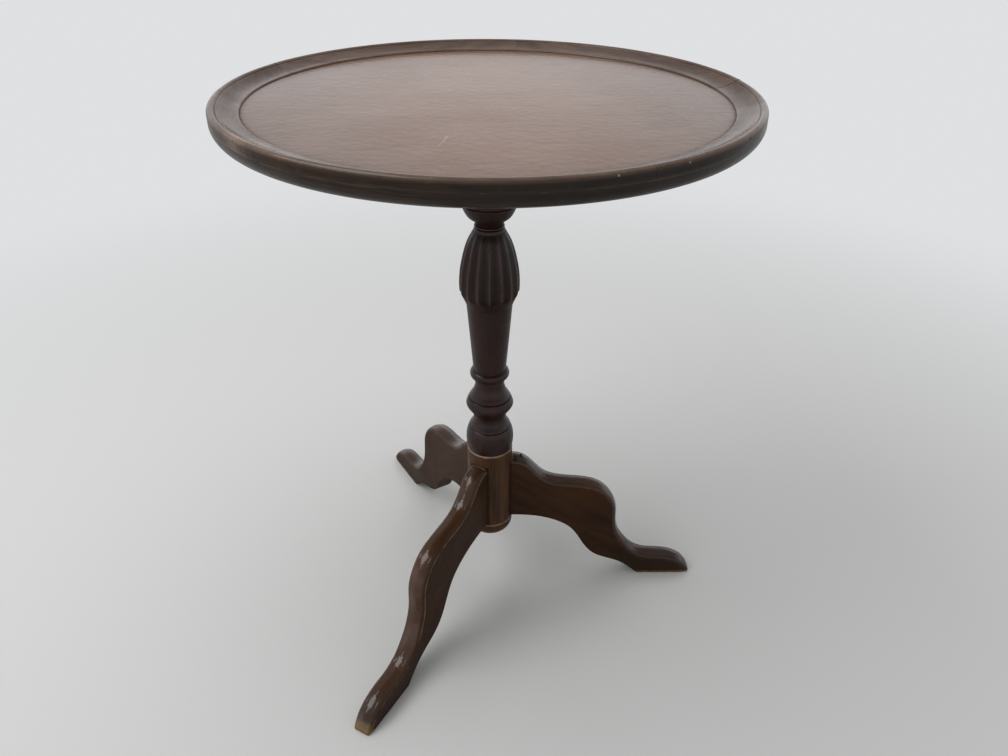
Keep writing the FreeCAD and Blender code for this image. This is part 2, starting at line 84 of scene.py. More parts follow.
# Turned outlines as (height share of the feature, share of the way from its small to its large radius)
URN_SWELL_SHARES = ((0.115, 0.92), (0.207, 0.983), (0.32, 1.0), (0.437, 0.954), (0.53, 0.862), (0.65, 0.65))
URN_SHOULDER_SHARES = ((0.69, 0.58), (0.76, 0.36), (0.81, 0.2), (0.87, 0.07), (0.94, 0.0), (1.0, 0.0))
KNOP_SWELL_SHARES = (
    (0.0, 0.0), (0.06, 0.1), (0.136, 0.27), (0.235, 0.6), (0.333, 0.91), (0.395, 1.0), (0.45, 0.95),
    (0.51, 0.84), (0.58, 0.69),
)
KNOP_NECK_SHARES = (
    (0.62, 0.66), (0.68, 0.53), (0.76, 0.32), (0.83, 0.19), (0.9, 0.09), (0.96, 0.03), (1.0, 0.0),
)
RING_NECK_SHARE = 0.4
RING_BODY_SHARE = 0.9
COLLAR_BAND_SHARE = 0.5
COLLAR_TOP_SHARE = 0.65
BOWL_SWELL_SHARES = ((0.04, 0.0), (0.15, 0.16), (0.3, 0.52), (0.45, 0.73), (0.6, 0.87), (0.78, 1.0))
STEM_COVE_SHARES = ((0.0, 0.04), (0.2, 0.0), (0.55, 0.12), (0.82, 0.5), (1.0, 1.0))

# Bulb as (height share, radius share, flute depth share), below its shoulder and above it
BULB_FOOT_SHARE = 0.1875
BULB_LOWER_SHARES = ((0.0, 0.0, 0.0), (0.68, 0.65, 0.0), (0.84, 0.82, 0.45), (1.0, 0.985, 1.0))
BULB_UPPER_SHARES = (
    (0.0, 0.985, 1.0), (0.1, 1.0, 1.0), (0.246, 0.972, 1.0), (0.37, 0.915, 1.0), (0.49, 0.82, 0.95),
    (0.615, 0.7, 0.88), (0.74, 0.55, 0.72), (0.86, 0.355, 0.45), (0.94, 0.17, 0.2), (1.0, 0.0, 0.0),
)
FLUTE_HOLLOW_SHARE = 0.91
FLUTE_POINT_SHARES = (0.0, 0.05, 0.13, 0.25, 0.38, 0.5, 0.62, 0.75, 0.87, 0.95, 1.0)

# Control points of a leg's two edges as (share of the reach, share of the height at the drum)
LEG_TOP_SHARES = (
    (0.0, 1.0), (0.045, 1.0), (0.1, 0.955), (0.165, 0.835), (0.27, 0.805), (0.4, 0.8), (0.5, 0.745),
    (0.572, 0.6), (0.556, 0.43), (0.625, 0.265), (0.715, 0.16), (0.84, 0.166), (0.93, 0.135),
    (0.985, 0.075), (1.0, 0.02),
)
LEG_UNDER_SHARES = (
    (0.0, 1.0), (0.09, 1.0), (0.2, 0.96), (0.33, 0.8), (0.385, 0.53), (0.45, 0.32), (0.56, 0.25),
    (0.64, 0.16), (0.705, 0.0),
)
TOE_FOOT_SHARE = 0.996
LEG_REACH_SHARES = (0.96, 1.03, 1.03)
HEEL_TOP_SHARE = 0.71


def length(name, description, default):
    return FloatProperty(name=name, description=description, default=default, unit="LENGTH", precision=5)


def angle(name, description, default):
    return FloatProperty(name=name, description=description, default=default, subtype="ANGLE")


def power(name, description, default):
    return FloatProperty(name=name, description=description, default=default, unit="POWER")


def colour(name, description, default):
    return FloatVectorProperty(
        name=name, description=description, default=default, subtype="COLOR", size=3, min=0.0, max=1.0
    )


class TeaTableSizes(bpy.types.PropertyGroup):
    """Sizes of the pieces, in metres"""

    top_radius: length("Top radius", "Radius of the board and its rim", BOARD_HIGH.x)
    field_height: length("Field height", "Height of the flat field", BOARD_HIGH.z)
    board_under: length("Board underside", "Height of the board's underside", BOARD_LOW.z)
    edge_land: length("Edge land", "Upright part of the board's edge", 0.004)
    edge_reach: length("Edge reach", "How far the edge is rounded in under the board", 0.015)
    rim_height: length("Rim height", "Height of the top of the bead", RIM_HIGH.z)
    rim_width: length("Rim width", "Width of the rim moulding", 0.026)
    rim_rebate: length("Rim rebate", "Depth that the rim is let into the board", 0.001)
    rim_joint: angle("Rim joint", "Angle of the first joint of the rim", math.radians(10.0))
    bead_width: length("Bead width", "Width of the bead along the outer edge", 0.007)
    bead_face: length("Bead face", "Height of the bead's upright face above the field", 0.005)
    quirk_depth: length("Quirk depth", "Depth of the sunk line beside the bead", 0.002)
    quirk_width: length("Quirk width", "Width of the sunk line beside the bead", 0.0009)
    inner_step: length("Inner step", "Height of the rim's inner edge above the field", 0.0015)
    inner_round: length("Inner round", "Rounding of the rim's inner edge", 0.0008)
    joint_ease: length("Joint ease", "Softening of the corners at the rim's joints", 0.0003)
    pin_diameter: length("Pin diameter", "Diameter of the rim's pin heads", 0.0019)
    pin_rise: length("Pin rise", "Height of the pins above the field", 0.006)
    urn_height: length("Urn height", "Height of the urn above the drum", 0.0435)
    knop_height: length("Knop height", "Height of the knop", 0.0405)
    ring_height: length("Ring height", "Height of the ring and its necks", 0.022)
    shaft_height: length("Shaft height", "Height of the tapered shaft", 0.078)
    bulb_height: length("Bulb height", "Height of the fluted bulb", 0.080)
    collar_height: length("Collar height", "Height of the collar above the bulb", 0.007)
    bowl_height: length("Bowl height", "Height of the bowl under the stem", 0.027)
    flange_height: length("Flange height", "Height of the flange under the cleat", 0.005)
    groove_depth: length("Groove depth", "Depth of the incised lines", 0.0011)
    groove_width: length("Groove width", "Width of the incised line on the bowl", 0.0018)
    urn_foot_radius: length("Urn foot radius", "Radius where the urn meets the drum", 0.0253)
    urn_radius: length("Urn radius", "Largest radius of the urn", 0.0270)
    urn_neck_radius: length("Urn neck radius", "Radius between urn and knop", 0.0183)
    knop_radius: length("Knop radius", "Largest radius of the knop", 0.0264)
    knop_neck_radius: length("Knop neck radius", "Radius between knop and ring", 0.0162)
    ring_radius: length("Ring radius", "Largest radius of the ring", 0.0216)
    shaft_foot_radius: length("Shaft foot radius", "Lower radius of the shaft", 0.0180)
    shaft_head_radius: length("Shaft head radius", "Upper radius of the shaft", 0.0243)
    bulb_foot_radius: length("Bulb foot radius", "Lower radius of the bulb", 0.0244)
    bulb_radius: length("Bulb radius", "Largest radius of the bulb", COLUMN_HIGH.x)
    bulb_head_radius: length("Bulb head radius", "Upper radius of the bulb", 0.0166)
    collar_radius: length("Collar radius", "Largest radius of the collar", 0.0162)
    bowl_neck_radius: length("Bowl neck radius", "Radius under the bowl", 0.0137)
    bowl_radius: length("Bowl radius", "Largest radius of the bowl", 0.0280)
    flange_radius: length("Flange radius", "Radius of the flange under the cleat", 0.031)
    stem_radius: length("Stem radius", "Radius of the stem above the bowl", 0.0215)
    spigot_radius: length("Spigot radius", "Radius of the spigot in the drum", 0.009)
    tenon_radius: length("Tenon radius", "Radius of the tenon in the cleat", 0.012)
    flutes: IntProperty(name="Flutes", description="Number of flutes round the bulb", default=16, min=3)
    flute_depth: length("Flute depth", "Depth of the flutes", 0.0020)
    flute_arris: angle("Flute arris", "Angle of the first arris", math.radians(-90.0))
    drum_radius: length("Drum radius", "Radius of the drum", 0.026)
    drum_round: length("Drum round", "Rounding of the drum's edges", 0.0012)
    cap_flat: length("Cap flat", "Radius of the flat under the cap", 0.012)
    cap_edge: length("Cap edge", "Height of the cap's upright edge", 0.006)
    cap_round: length("Cap round", "Rounding of the cap's upper edge", 0.001)
    leg_thickness: length("Leg thickness", "Thickness of the sawn legs", LEG_HIGH.y - LEG_LOW.y)
    leg_height: length("Leg height", "Height of the legs at the drum", LEG_HIGH.z)
    leg_root: length("Leg root", "Height of the leg's joint with the drum", 0.085)
    leg_reach: length("Leg reach", "How far the legs reach out from the drum", 0.239)
    leg_top_round: length("Leg top round", "Rounding of the upper arrises", 0.0055)
    leg_under_round: length("Leg under round", "Rounding of the lower arrises", 0.0015)
    leg_crown: length("Leg crown", "How far the upper face falls off to its sides", 0.0010)
    fit_gap: length("Fit gap", "Glue gap between the pieces", 0.0001)


class TeaTableFinishes(bpy.types.PropertyGroup):
    """Colours of the finishes"""

    field_dark: colour("Field dark", "Dark grain of the varnished field", (0.135, 0.066, 0.035))
    field_light: colour("Field light", "Light grain of the varnished field", (0.194, 0.102, 0.056))
    under_dark: colour("Underside dark", "Dark grain of the unfinished underside", (0.085, 0.050, 0.030))
    under_light: colour("Underside light", "Light grain of the unfinished underside", (0.165, 0.104, 0.063))
    rim_dark: colour("Rim dark", "Dark grain of the rim", (0.050, 0.0310, 0.0230))
    rim_light: colour("Rim light", "Light grain of the rim", (0.114, 0.0760, 0.0580))
    rim_worn: colour("Rim worn", "Wood that shows where the rim is rubbed", (0.300, 0.195, 0.125))
    # The outer edge's colours hold painted shade as well as the edge's stain
    edge_dark: colour("Edge dark", "Dark streaks of the outer edge", (0.0075, 0.0034, 0.0012))
    edge_light: colour("Edge light", "Light streaks of the outer edge", (0.036, 0.0165, 0.0060))
    column_dark: colour("Column dark", "Dark grain of the stained column", (0.0098, 0.0033, 0.0023))
    column_light: colour("Column light", "Light grain of the stained column", (0.0340, 0.0109, 0.0076))
    column_worn: colour("Column worn", "Wood that shows on the column's arrises", (0.080, 0.052, 0.042))
    leg_dark: colour("Leg dark", "Dark grain of the legs", (0.0240, 0.0104, 0.0045))
    leg_light: colour("Leg light", "Light grain of the legs", (0.0715, 0.0310, 0.0135))
    leg_worn: colour("Leg worn", "Wood that shows on the arrises", (0.215, 0.138, 0.080))
    leg_warm: colour("Leg warm", "Redder middle of a leg's broad side", (0.0850, 0.0340, 0.0100))
    leg_thin: colour("Leg thin", "Thin varnish on the front leg's upper face", (0.1200, 0.0460, 0.0140))
    drum_dark: colour("Drum dark", "Dark grain of the drum", (0.0350, 0.0160, 0.0070))
    drum_light: colour("Drum light", "Light grain of the drum", (0.1050, 0.0490, 0.0220))
    drum_worn: colour("Drum worn", "Pale rings at the edges of drum and cap", (0.300, 0.205, 0.140))
    toe_bare: colour("Toe bare", "Bare wood on the rubbed toes", (0.210, 0.130, 0.048))
    dust: colour("Dust", "Dull dust on the legs near the floor", (0.024, 0.020, 0.0155))
    # Also the colour of the painted shade where the legs meet the drum, along the field's joint with the rim,
    # and round the nail
    grime_and_shade: colour("Grime", "Old polish and dirt in the corners", (0.011, 0.007, 0.005))
    bare_dark: colour("Bare dark", "Dark grain of the cleat", (0.150, 0.092, 0.050))
    bare_light: colour("Bare light", "Light grain of the cleat", (0.300, 0.200, 0.118))
    steel: colour("Steel", "Dull steel of the screws", (0.230, 0.215, 0.200))
    steel_rust: colour("Rust", "Rust on the steel", (0.085, 0.040, 0.020))
    iron: colour("Iron", "Dark iron of the nail", (0.030, 0.026, 0.023))
    filler: colour("Filler", "Putty over the pin heads", (0.330, 0.260, 0.180))


class TeaTableStage(bpy.types.PropertyGroup):
    """Floor, light and background"""

    floor_colour: colour("Floor", "Colour of the floor", (0.560, 0.565, 0.560))
    background: colour("Background", "Colour of the background", (0.740, 0.748, 0.760))
    wall: colour("Wall", "What the polish mirrors from the side", (0.950, 0.965, 1.000))
    overhead: colour("Overhead", "What the polish mirrors from straight above", (0.330, 0.335, 0.350))
    floor_radius: length("Floor radius", "Radius of the floor", 12.0)
    fade_start: length("Fade start", "Where the floor starts to turn into the background", 0.55)
    fade_end: length("Fade end", "Where the floor has turned into the background", 1.7)
    soft_power: power("Soft power", "Power of the soft light overhead", 43.0)
    key_power: power("Key power", "Power of the light from the left", 23.0)
    fill_power: power("Fill power", "Power of the light from the front", 5.0)
    ambient: FloatProperty(
        name="Ambient", description="Strength of the light from all round", default=0.4, min=0.0
    )


# Outlines

EASE_TURN = math.radians(20)
EASE_STEPS = 3
EASE_LIMIT = 0.4
MASK_TURN = math.radians(65)


def arc(start, middle, end, steps):
    """Points on the circle through three points, without the first one."""
    (ax, ay), (bx, by), (cx, cy) = start, middle, end
    d = 2 * (ax * (by - cy) + bx * (cy - ay) + cx * (ay - by))
    a2, b2, c2 = ax * ax + ay * ay, bx * bx + by * by, cx * cx + cy * cy
    ux = (a2 * (by - cy) + b2 * (cy - ay) + c2 * (ay - by)) / d
    uy = (a2 * (cx - bx) + b2 * (ax - cx) + c2 * (bx - ax)) / d
    radius = math.hypot(ax - ux, ay - uy)
    first = math.atan2(ay - uy, ax - ux)
    middle_turn = (math.atan2(by - uy, bx - ux) - first) % TURN
    last_turn = (math.atan2(cy - uy, cx - ux) - first) % TURN
    if middle_turn > last_turn:
        last_turn -= TURN
    turns = [first + last_turn * k / steps for k in range(1, steps + 1)]
    return [(ux + radius * math.cos(t), uy + radius * math.sin(t)) for t in turns]


def quarter_middle(upright, level):
    """Middle of a quarter round that is upright at one end and level at the other."""
    return (
        level[0] + (upright[0] - level[0]) * HALF_WAY,
        upright[1] + (level[1] - upright[1]) * HALF_WAY,
    )


def through(points, steps):
    """A smooth curve through the points, as natural cubic stretches of some steps each."""
    p = np.array(points, float)
    count = len(p)
    chord = np.linalg.norm(np.diff(p, axis=0), axis=1)
    system = np.eye(count)
    bends = np.zeros_like(p)
    for k in range(1, count - 1):
        system[k, k - 1:k + 2] = chord[k - 1], 2 * (chord[k - 1] + chord[k]), chord[k]
        bends[k] = 6 * ((p[k + 1] - p[k]) / chord[k] - (p[k] - p[k - 1]) / chord[k - 1])
    m = np.linalg.solve(system, bends)
    result = [tuple(p[0])]
    for k, h in enumerate(chord):
        slope = (p[k + 1] - p[k]) / h - h * (2 * m[k] + m[k + 1]) / 6
        for step in range(1, steps + 1):
            t = h * step / steps
            result.append(tuple(p[k] + slope * t + m[k] * t * t / 2 + (m[k + 1] - m[k]) * t ** 3 / (6 * h)))
    return result


def drawn_towards(poles, count):
    """Points of a clamped cubic B-spline that is drawn towards its control points."""
    spans = len(poles) - 3
    knots = [0] * 4 + list(range(1, spans)) + [spans] * 4
    result = []
    for step in range(count):
        u = spans * step / (count - 1)
        k = min(bisect.bisect_right(knots, u) - 1, len(poles) - 1)
        d = [Vector(poles[j]) for j in range(k - 3, k + 1)]
        for level in range(1, 4):
            for j in range(3, level - 1, -1):
                low = knots[j + k - 3]
                share = (u - low) / (knots[j + k + 1 - level] - low)
                d[j] = d[j - 1].lerp(d[j], share)
        result.append(d[3])
    return result


def run_of(points):
    """How far along its line each point lies."""
    return np.concatenate([[0], np.cumsum(np.linalg.norm(np.diff(points, axis=0), axis=1))])


def evenly(points, count):
    """The same line with its points evenly spaced."""
    p = np.array(points, float)
    run = run_of(p)
    at = np.linspace(0, run[-1], count)
    return np.stack([np.interp(at, run, p[:, k]) for k in range(p.shape[1])], 1)


def eased(points, reach):
    """A line with its sharp corners softened."""
    result = [points[0]]
    for before, here, after in zip(points, points[1:], points[2:]):
        a, b, c = Vector(before), Vector(here), Vector(after)
        back, ahead = a - b, c - b
        if min(back.length, ahead.length) == 0 or math.pi - back.angle(ahead) < EASE_TURN:
            result.append(here)
            continue
        start = b + back.normalized() * min(reach, back.length * EASE_LIMIT)
        end = b + ahead.normalized() * min(reach, ahead.length * EASE_LIMIT)
        for step in range(EASE_STEPS + 1):
            t = step / EASE_STEPS
            result.append(tuple(start.lerp(b, t).lerp(b.lerp(end, t), t)))
    return result + [points[-1]]


def divided(points, spacing):
    """A line with extra points wherever its own lie further apart than the spacing."""
    result = [points[0]]
    for start, end in zip(points, points[1:]):
        a, b = np.array(start, float), np.array(end, float)
        parts = max(1, math.ceil(np.linalg.norm((b - a)[:2]) / spacing))
        result += [tuple(a + (b - a) * k / parts) for k in range(1, parts + 1)]
    return result


def corner_masks(points, reach, closed=False):
    """How far each point of an outline stands out as an arris, and how far it lies in a corner."""
    p = np.array(points, float)[:, :2]
    run = run_of(p)
    result = []
    for k, here in enumerate(run):
        ends = []
        for at in (here - reach, here + reach):
            at = at % run[-1] if closed else min(max(at, 0), run[-1])
            ends.append(np.array([np.interp(at, run, p[:, 0]), np.interp(at, run, p[:, 1])]))
        back, ahead = p[k] - ends[0], ends[1] - p[k]
        bend = math.atan2(back[0] * ahead[1] - back[1] * ahead[0], back @ ahead) / MASK_TURN
        result.append((min(max(bend, 0.0), 1.0), min(max(-bend, 0.0), 1.0)))
    return result


# Meshes

MERGE_REACH = 1e-7
SHARP_TURN = math.radians(50)


class Skin:
    """A piece while it is made: its points with their timber coordinates and masks, and its faces."""

    MASKS = ("arris", "hollow", "rub", "polish")

    def __init__(self):
        self.places = []
        self.timber = []
        self.masks = []
        self.faces = []

    def point(self, place, timber, arris=0.0, hollow=0.0, rub=0.0, polish=1.0):
        self.places.append(tuple(place))
        self.timber.append(tuple(timber))
        self.masks.append((arris, hollow, rub, polish))
        return len(self.places) - 1

    def weave(self, rows, ring=False):
        """Quads between neighbouring rows; a ring closes each row on itself."""
        for low, high in zip(rows, rows[1:]):
            count = len(low)
            for k in range(count if ring else count - 1):
                n = (k + 1) % count
                self.faces.append((low[k], low[n], high[n], high[k]))

    def lid(self, row):
        """Close the end of a row whose first half mirrors its second half."""
        last = len(row) - 1
        for k in range(len(row) // 2 - 1):
            self.faces.append((row[k], row[k + 1], row[last - k - 1], row[last - k]))

    def piece(self, name, material, nodes, slot):
        """Make the object, which stands for its nodes."""
        mesh = bpy.data.meshes.new(name)
        mesh.from_pydata(self.places, [], self.faces)
        grain = mesh.attributes.new("timber", "FLOAT_VECTOR", "POINT")
        grain.data.foreach_set("vector", np.array(self.timber, np.float32).ravel())
        for k, mask in enumerate(self.MASKS):
            layer = mesh.attributes.new(mask, "FLOAT", "POINT")
            layer.data.foreach_set("value", np.array([m[k] for m in self.masks], np.float32))
        work = bmesh.new()
        work.from_mesh(mesh)
        bmesh.ops.remove_doubles(work, verts=work.verts, dist=MERGE_REACH)
        bmesh.ops.recalc_face_normals(work, faces=work.faces)
        work.to_mesh(mesh)
        work.free()
        mesh.shade_smooth()
        mesh.set_sharp_from_angle(angle=SHARP_TURN)
        mesh.materials.append(material)
        piece = bpy.data.objects.new(name, mesh)
        bpy.context.scene.collection.objects.link(piece)
        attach(piece, BODY)
        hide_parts(*nodes)
        return piece


def upright_grain(x, y, z):
    return (z, x, y)


def flat_grain(x, y, z):
    return (x, y, z)


def level_out(turn):
    """The level direction at an angle about the column."""
    return Vector((math.cos(turn), math.sin(turn), 0.0))


def whole_turn(steps):
    return [TURN * k / steps for k in range(steps)]


UNROUND_SCALE = 30
FLUTE_DIRT = 0.6


def turned(skin, outline, masks, turns, grain, unround=0.0, flute=None):
    """Spin an outline of (radius, height) or (radius, height, flute depth) about the column's axis."""
    rows = []
    for turn in turns:
        c, s = math.cos(turn), math.sin(turn)
        row = []
        for (radius, height, *depth), (arris, hollow) in zip(outline, masks):
            if depth and depth[0] > 0:
                sunk, edge = flute(turn)
                radius -= depth[0] * sunk
                arris, hollow = max(arris, edge), max(hollow, FLUTE_DIRT * sunk * sunk)
            if unround:
                spot = (c * radius * UNROUND_SCALE, s * radius * UNROUND_SCALE, height * UNROUND_SCALE)
                radius += unround * noise.noise(spot)
            x, y = c * radius, s * radius
            row.append(skin.point((x, y, height), grain(x, y, height), arris, hollow))
        rows.append(row)
    skin.weave(rows + rows[:1])
    return rows


BOARD_STEPS = 360
BOARD_SPACING = 0.006
EDGE_SPACING = 0.0012
EDGE_ARC_STEPS = 14
FIELD_MARGIN = 4 * EDGE_SPACING
# How far the painted shade and old polish reach onto the field from the rim's inner edge
FIELD_JOINT_SHADE_REACH = 1.5 * EDGE_SPACING
BOARD_MASK_REACH = 2 * EDGE_SPACING
CORNER_EASE = 0.0005
EDGE_POLISH = 0.42


def board_skin(sizes):
    """The board with its rebate for the rim and its rounded lower edge."""
    rim, field_z, under_z = sizes.top_radius, sizes.field_height, sizes.board_under
    field = rim - sizes.rim_width - sizes.fit_gap
    seat_z = field_z - sizes.rim_rebate
    land, flat = (rim, field_z - sizes.edge_land), (rim - sizes.edge_reach, under_z)
    edge = [land] + arc(land, quarter_middle(land, flat), flat, EDGE_ARC_STEPS)
    lower = divided([flat, (0.0, under_z)], BOARD_SPACING)
    outer = divided(eased([(field, seat_z), (rim, seat_z)] + edge, CORNER_EASE), BOARD_SPACING)
    upper = divided([(0.0, field_z), (field - FIELD_MARGIN, field_z)], BOARD_SPACING)
    upper += divided([upper[-1], (field, field_z)], EDGE_SPACING)
    outline = (upper + outer + lower[1:])[::-1]
    masks = []
    for (radius, z), (arris, hollow) in zip(outline, corner_masks(outline, BOARD_MASK_REACH)):
        # The field darkened beside the rim: painted shade in the corner, with old polish and dirt
        joint = math.exp(-abs(radius - field) / FIELD_JOINT_SHADE_REACH) * (z == field_z)
        masks.append((arris * (radius > field), max(hollow, joint)))
    skin = Skin()
    turned(skin, outline, masks, whole_turn(BOARD_STEPS), flat_grain)
    skin.masks = [
        (arris, hollow, rub, polish if place[2] == field_z else EDGE_POLISH)
        for place, (arris, hollow, rub, polish) in zip(skin.places, skin.masks)
    ]
    return skin


RIM_STEPS = 72
RIM_SPACING = 0.0008
RIM_MASK_REACH = 2 * RIM_SPACING
BEAD_ARC_STEPS = 14
COVE_ARC_STEPS = 20
COVE_MID_REACH_SHARE = 0.5
COVE_MID_RISE_SHARE = 0.22
RIM_UNEVEN = 0.00007
RIM_UNEVEN_SCALE = 45.0
RIM_SINK = (0.0, 0.00005, 0.0001, 0.00012, 0.00018)
RIM_JOINT_STEPS = (0, 1, 3)
RIM_JOINT_SETBACK = 0.6
RIM_JOINT_DIRT = 0.8
RUB_TURN = math.radians(-141.0)
RUB_REACH = 0.016
INNER_ARRIS_SHARE = 0.5
SEAT_ARRIS_SHARE = 0.1


def rim_outline(sizes):
    """Section of the rim as a closed line: bead, sunk line, cove and inner step."""
    rim, field_z, top_z = sizes.top_radius, sizes.field_height, sizes.rim_height
    inner = rim - sizes.rim_width
    seat_z = field_z - sizes.rim_rebate
    face = (rim, field_z + sizes.bead_face)
    quirk = (rim - sizes.bead_width, top_z - sizes.quirk_depth)
    cove_start = (quirk[0] - sizes.quirk_width, quirk[1])
    cove_end = (inner + sizes.inner_round, field_z + sizes.inner_step)
    reach, rise = cove_start[0] - cove_end[0], cove_start[1] - cove_end[1]
    cove_middle = (cove_end[0] + reach * COVE_MID_REACH_SHARE, cove_end[1] + rise * COVE_MID_RISE_SHARE)
    line = [(rim, seat_z), face]
    line += arc(face, (rim - sizes.bead_width / 2, top_z), quirk, BEAD_ARC_STEPS)
    line += [cove_start] + arc(cove_start, cove_middle, cove_end, COVE_ARC_STEPS)
    line += [(inner, field_z + sizes.inner_step - sizes.inner_round), (inner, seat_z), (rim, seat_z)]
    return divided(eased(line, sizes.joint_ease), RIM_SPACING)


def rim_skin(sizes, index):
    """One segment of the rim, its corners softened at the joints."""
    sweep = TURN / len(RIM_NODES)
    gap = sizes.fit_gap / sizes.top_radius
    start = sizes.rim_joint + index * sweep + gap / 2
    outline = rim_outline(sizes)[:-1]
    masks = corner_masks(outline + outline[:1], RIM_MASK_REACH, closed=True)
    centre = np.mean(outline, axis=0)
    along_outline = np.roll(outline, -1, axis=0) - np.roll(outline, 1, axis=0)
    facing_up = np.abs(along_outline[:, 0]) / np.linalg.norm(along_outline, axis=1)
    polish = EDGE_POLISH + (1 - EDGE_POLISH) * facing_up ** 2
    out = level_out(start + sweep / 2)
    along = Vector((-out.y, out.x, 0.0))
    rub_place = level_out(RUB_TURN) * (sizes.top_radius - sizes.bead_width)
    cove_edge = sizes.top_radius - sizes.bead_width - sizes.quirk_width
    length_turn = sweep - gap
    ends = [step * (sizes.joint_ease / sizes.top_radius) for step in RIM_JOINT_STEPS]
    turns = ends + [length_turn * k / RIM_STEPS for k in range(1, RIM_STEPS)]
    turns += [length_turn - end for end in reversed(ends)]
    skin = Skin()
    rows = []
    for turn in turns:
        at_end = turn in (0.0, length_turn)
        c, s = math.cos(start + turn), math.sin(start + turn)
        row = []
        for (radius, z), (arris, hollow), sheen in zip(outline, masks, polish):
            if at_end:
                inward = centre - (radius, z)
                setback = inward / np.linalg.norm(inward) * sizes.joint_ease * RIM_JOINT_SETBACK
                radius, z = (radius, z) + setback
            place = Vector((c * radius, s * radius, z - RIM_SINK[index]))
            uneven = noise.noise(place * RIM_UNEVEN_SCALE) * RIM_UNEVEN * (z > sizes.field_height)
            place += Vector((c, s, 1.0)) * (uneven - RIM_UNEVEN)
            rub = math.exp(-((place - rub_place).xy.length / RUB_REACH) ** 2)
            timber = (place.dot(along), place.dot(out) + index, place.z)
            if z < sizes.field_height:
                arris *= SEAT_ARRIS_SHARE
            elif radius < cove_edge:
                arris *= INNER_ARRIS_SHARE
            row.append(skin.point(place, timber, arris, max(hollow, RIM_JOINT_DIRT * at_end), rub, sheen))
        rows.append(row)
    skin.weave(rows, ring=True)
    skin.faces += [tuple(rows[0]), tuple(rows[-1])]
    return skin


RIM_PIN_SPREAD_SHARES = (0.1, 0.37, 0.9)
RIM_PIN_TONES = ((1.0, 0.1, 0.9), (0.2, 0.1, 0.9), (0.9, 0.1, 0.1), (0.42, 0.1, 0.9), (1.0, 0.1, 0.9))
PIN_SIDES = 14
# Rings of a pin head from its seat up, as (share of its radius, rise above the bead)
PIN_RINGS = ((1.0, -0.0008), (1.0, 0.0), (0.75, 0.00004), (0.0, 0.000056))
PIN_DIRT_FADE = 4


def pins_skin(sizes):
    """Puttied heads of the panel pins on the bead's outer shoulder."""
    skin = Skin()
    sweep = TURN / len(RIM_NODES)
    outline = np.array(rim_outline(sizes))
    shoulder = int(np.argmin(np.abs(outline[:, 1] - sizes.field_height - sizes.pin_rise) - outline[:, 0]))
    place = outline[shoulder]
    slope = outline[shoulder + 2] - outline[shoulder - 2]
    slope /= np.linalg.norm(slope)
    for segment, tones in enumerate(RIM_PIN_TONES):
        for share, tone in zip(RIM_PIN_SPREAD_SHARES, tones):
            out = level_out(sizes.rim_joint + (segment + share) * sweep)
            side = Vector((-out.y, out.x, 0.0))
            up = out * slope[0] + Vector((0.0, 0.0, slope[1]))
            normal = side.cross(up)
            if normal.z < 0:
                normal = -normal
            middle = out * place[0] + Vector((0.0, 0.0, place[1])) - normal * RIM_UNEVEN
            rows = []
            for spread, rise in PIN_RINGS:
                ring = []
                for a in whole_turn(PIN_SIDES):
                    across = (side * math.cos(a) + up * math.sin(a)) * sizes.pin_diameter / 2 * spread
                    spot = middle + across + normal * rise
                    spot.xy *= min(1.0, (sizes.top_radius - RIM_UNEVEN) / spot.xy.length)
                    dirt_and_shade = 1.0 - min(1.0, PIN_DIRT_FADE * (1 - spread))
                    ring.append(skin.point(spot, spot, 0.0, dirt_and_shade, tone))
                rows.append(ring)
            skin.weave(rows, ring=True)
            skin.faces.append(tuple(rows[0]))
    return skin


COLUMN_SPACING = 0.0012
TURNING_EASE = 0.0004
TURNING_UNROUND = 0.00008
OUTLINE_STEPS = 4
RING_ARC_STEPS = 12
COLLAR_ARC_STEPS = 8
COLUMN_POLISH = 0.42
UPWARD_POLISH = 0.55
DOWNWARD_LIMIT = -0.6
FLUTE_ARRIS_FADE = 4
SMALL = 1e-9


def column_levels(sizes):
    """Heights at which the features of the column start, from the drum up."""
    levels = {"urn": DRUM_HIGH.z}
    features = ("urn", "knop", "ring", "shaft", "bulb", "collar", "bowl")
    for name, after in zip(features, features[1:] + ("stem",)):
        levels[after] = levels[name] + getattr(sizes, name + "_height")
    levels["cleat"] = CLEAT_LOW.z
    return levels


def stretch(shares, z, height, small, large):
    """Points of a turned feature from its shares."""
    return [(small + share * (large - small), z + rise * height) for rise, share in shares]


def bulb_stretch(shares, low, high, small, sizes):
    points = [
        (small + share * (sizes.bulb_radius - small), low + rise * (high - low), depth * sizes.flute_depth)
        for rise, share, depth in shares
    ]
    return through(points, OUTLINE_STEPS)


def groove(below, above, depth):
    """The bottom of an incised line between two points."""
    return ((below[0] + above[0]) / 2 - depth, (below[1] + above[1]) / 2)


def unfluted(line):
    return [(r, h, 0.0) for r, h in divided(eased(line, TURNING_EASE), COLUMN_SPACING)]


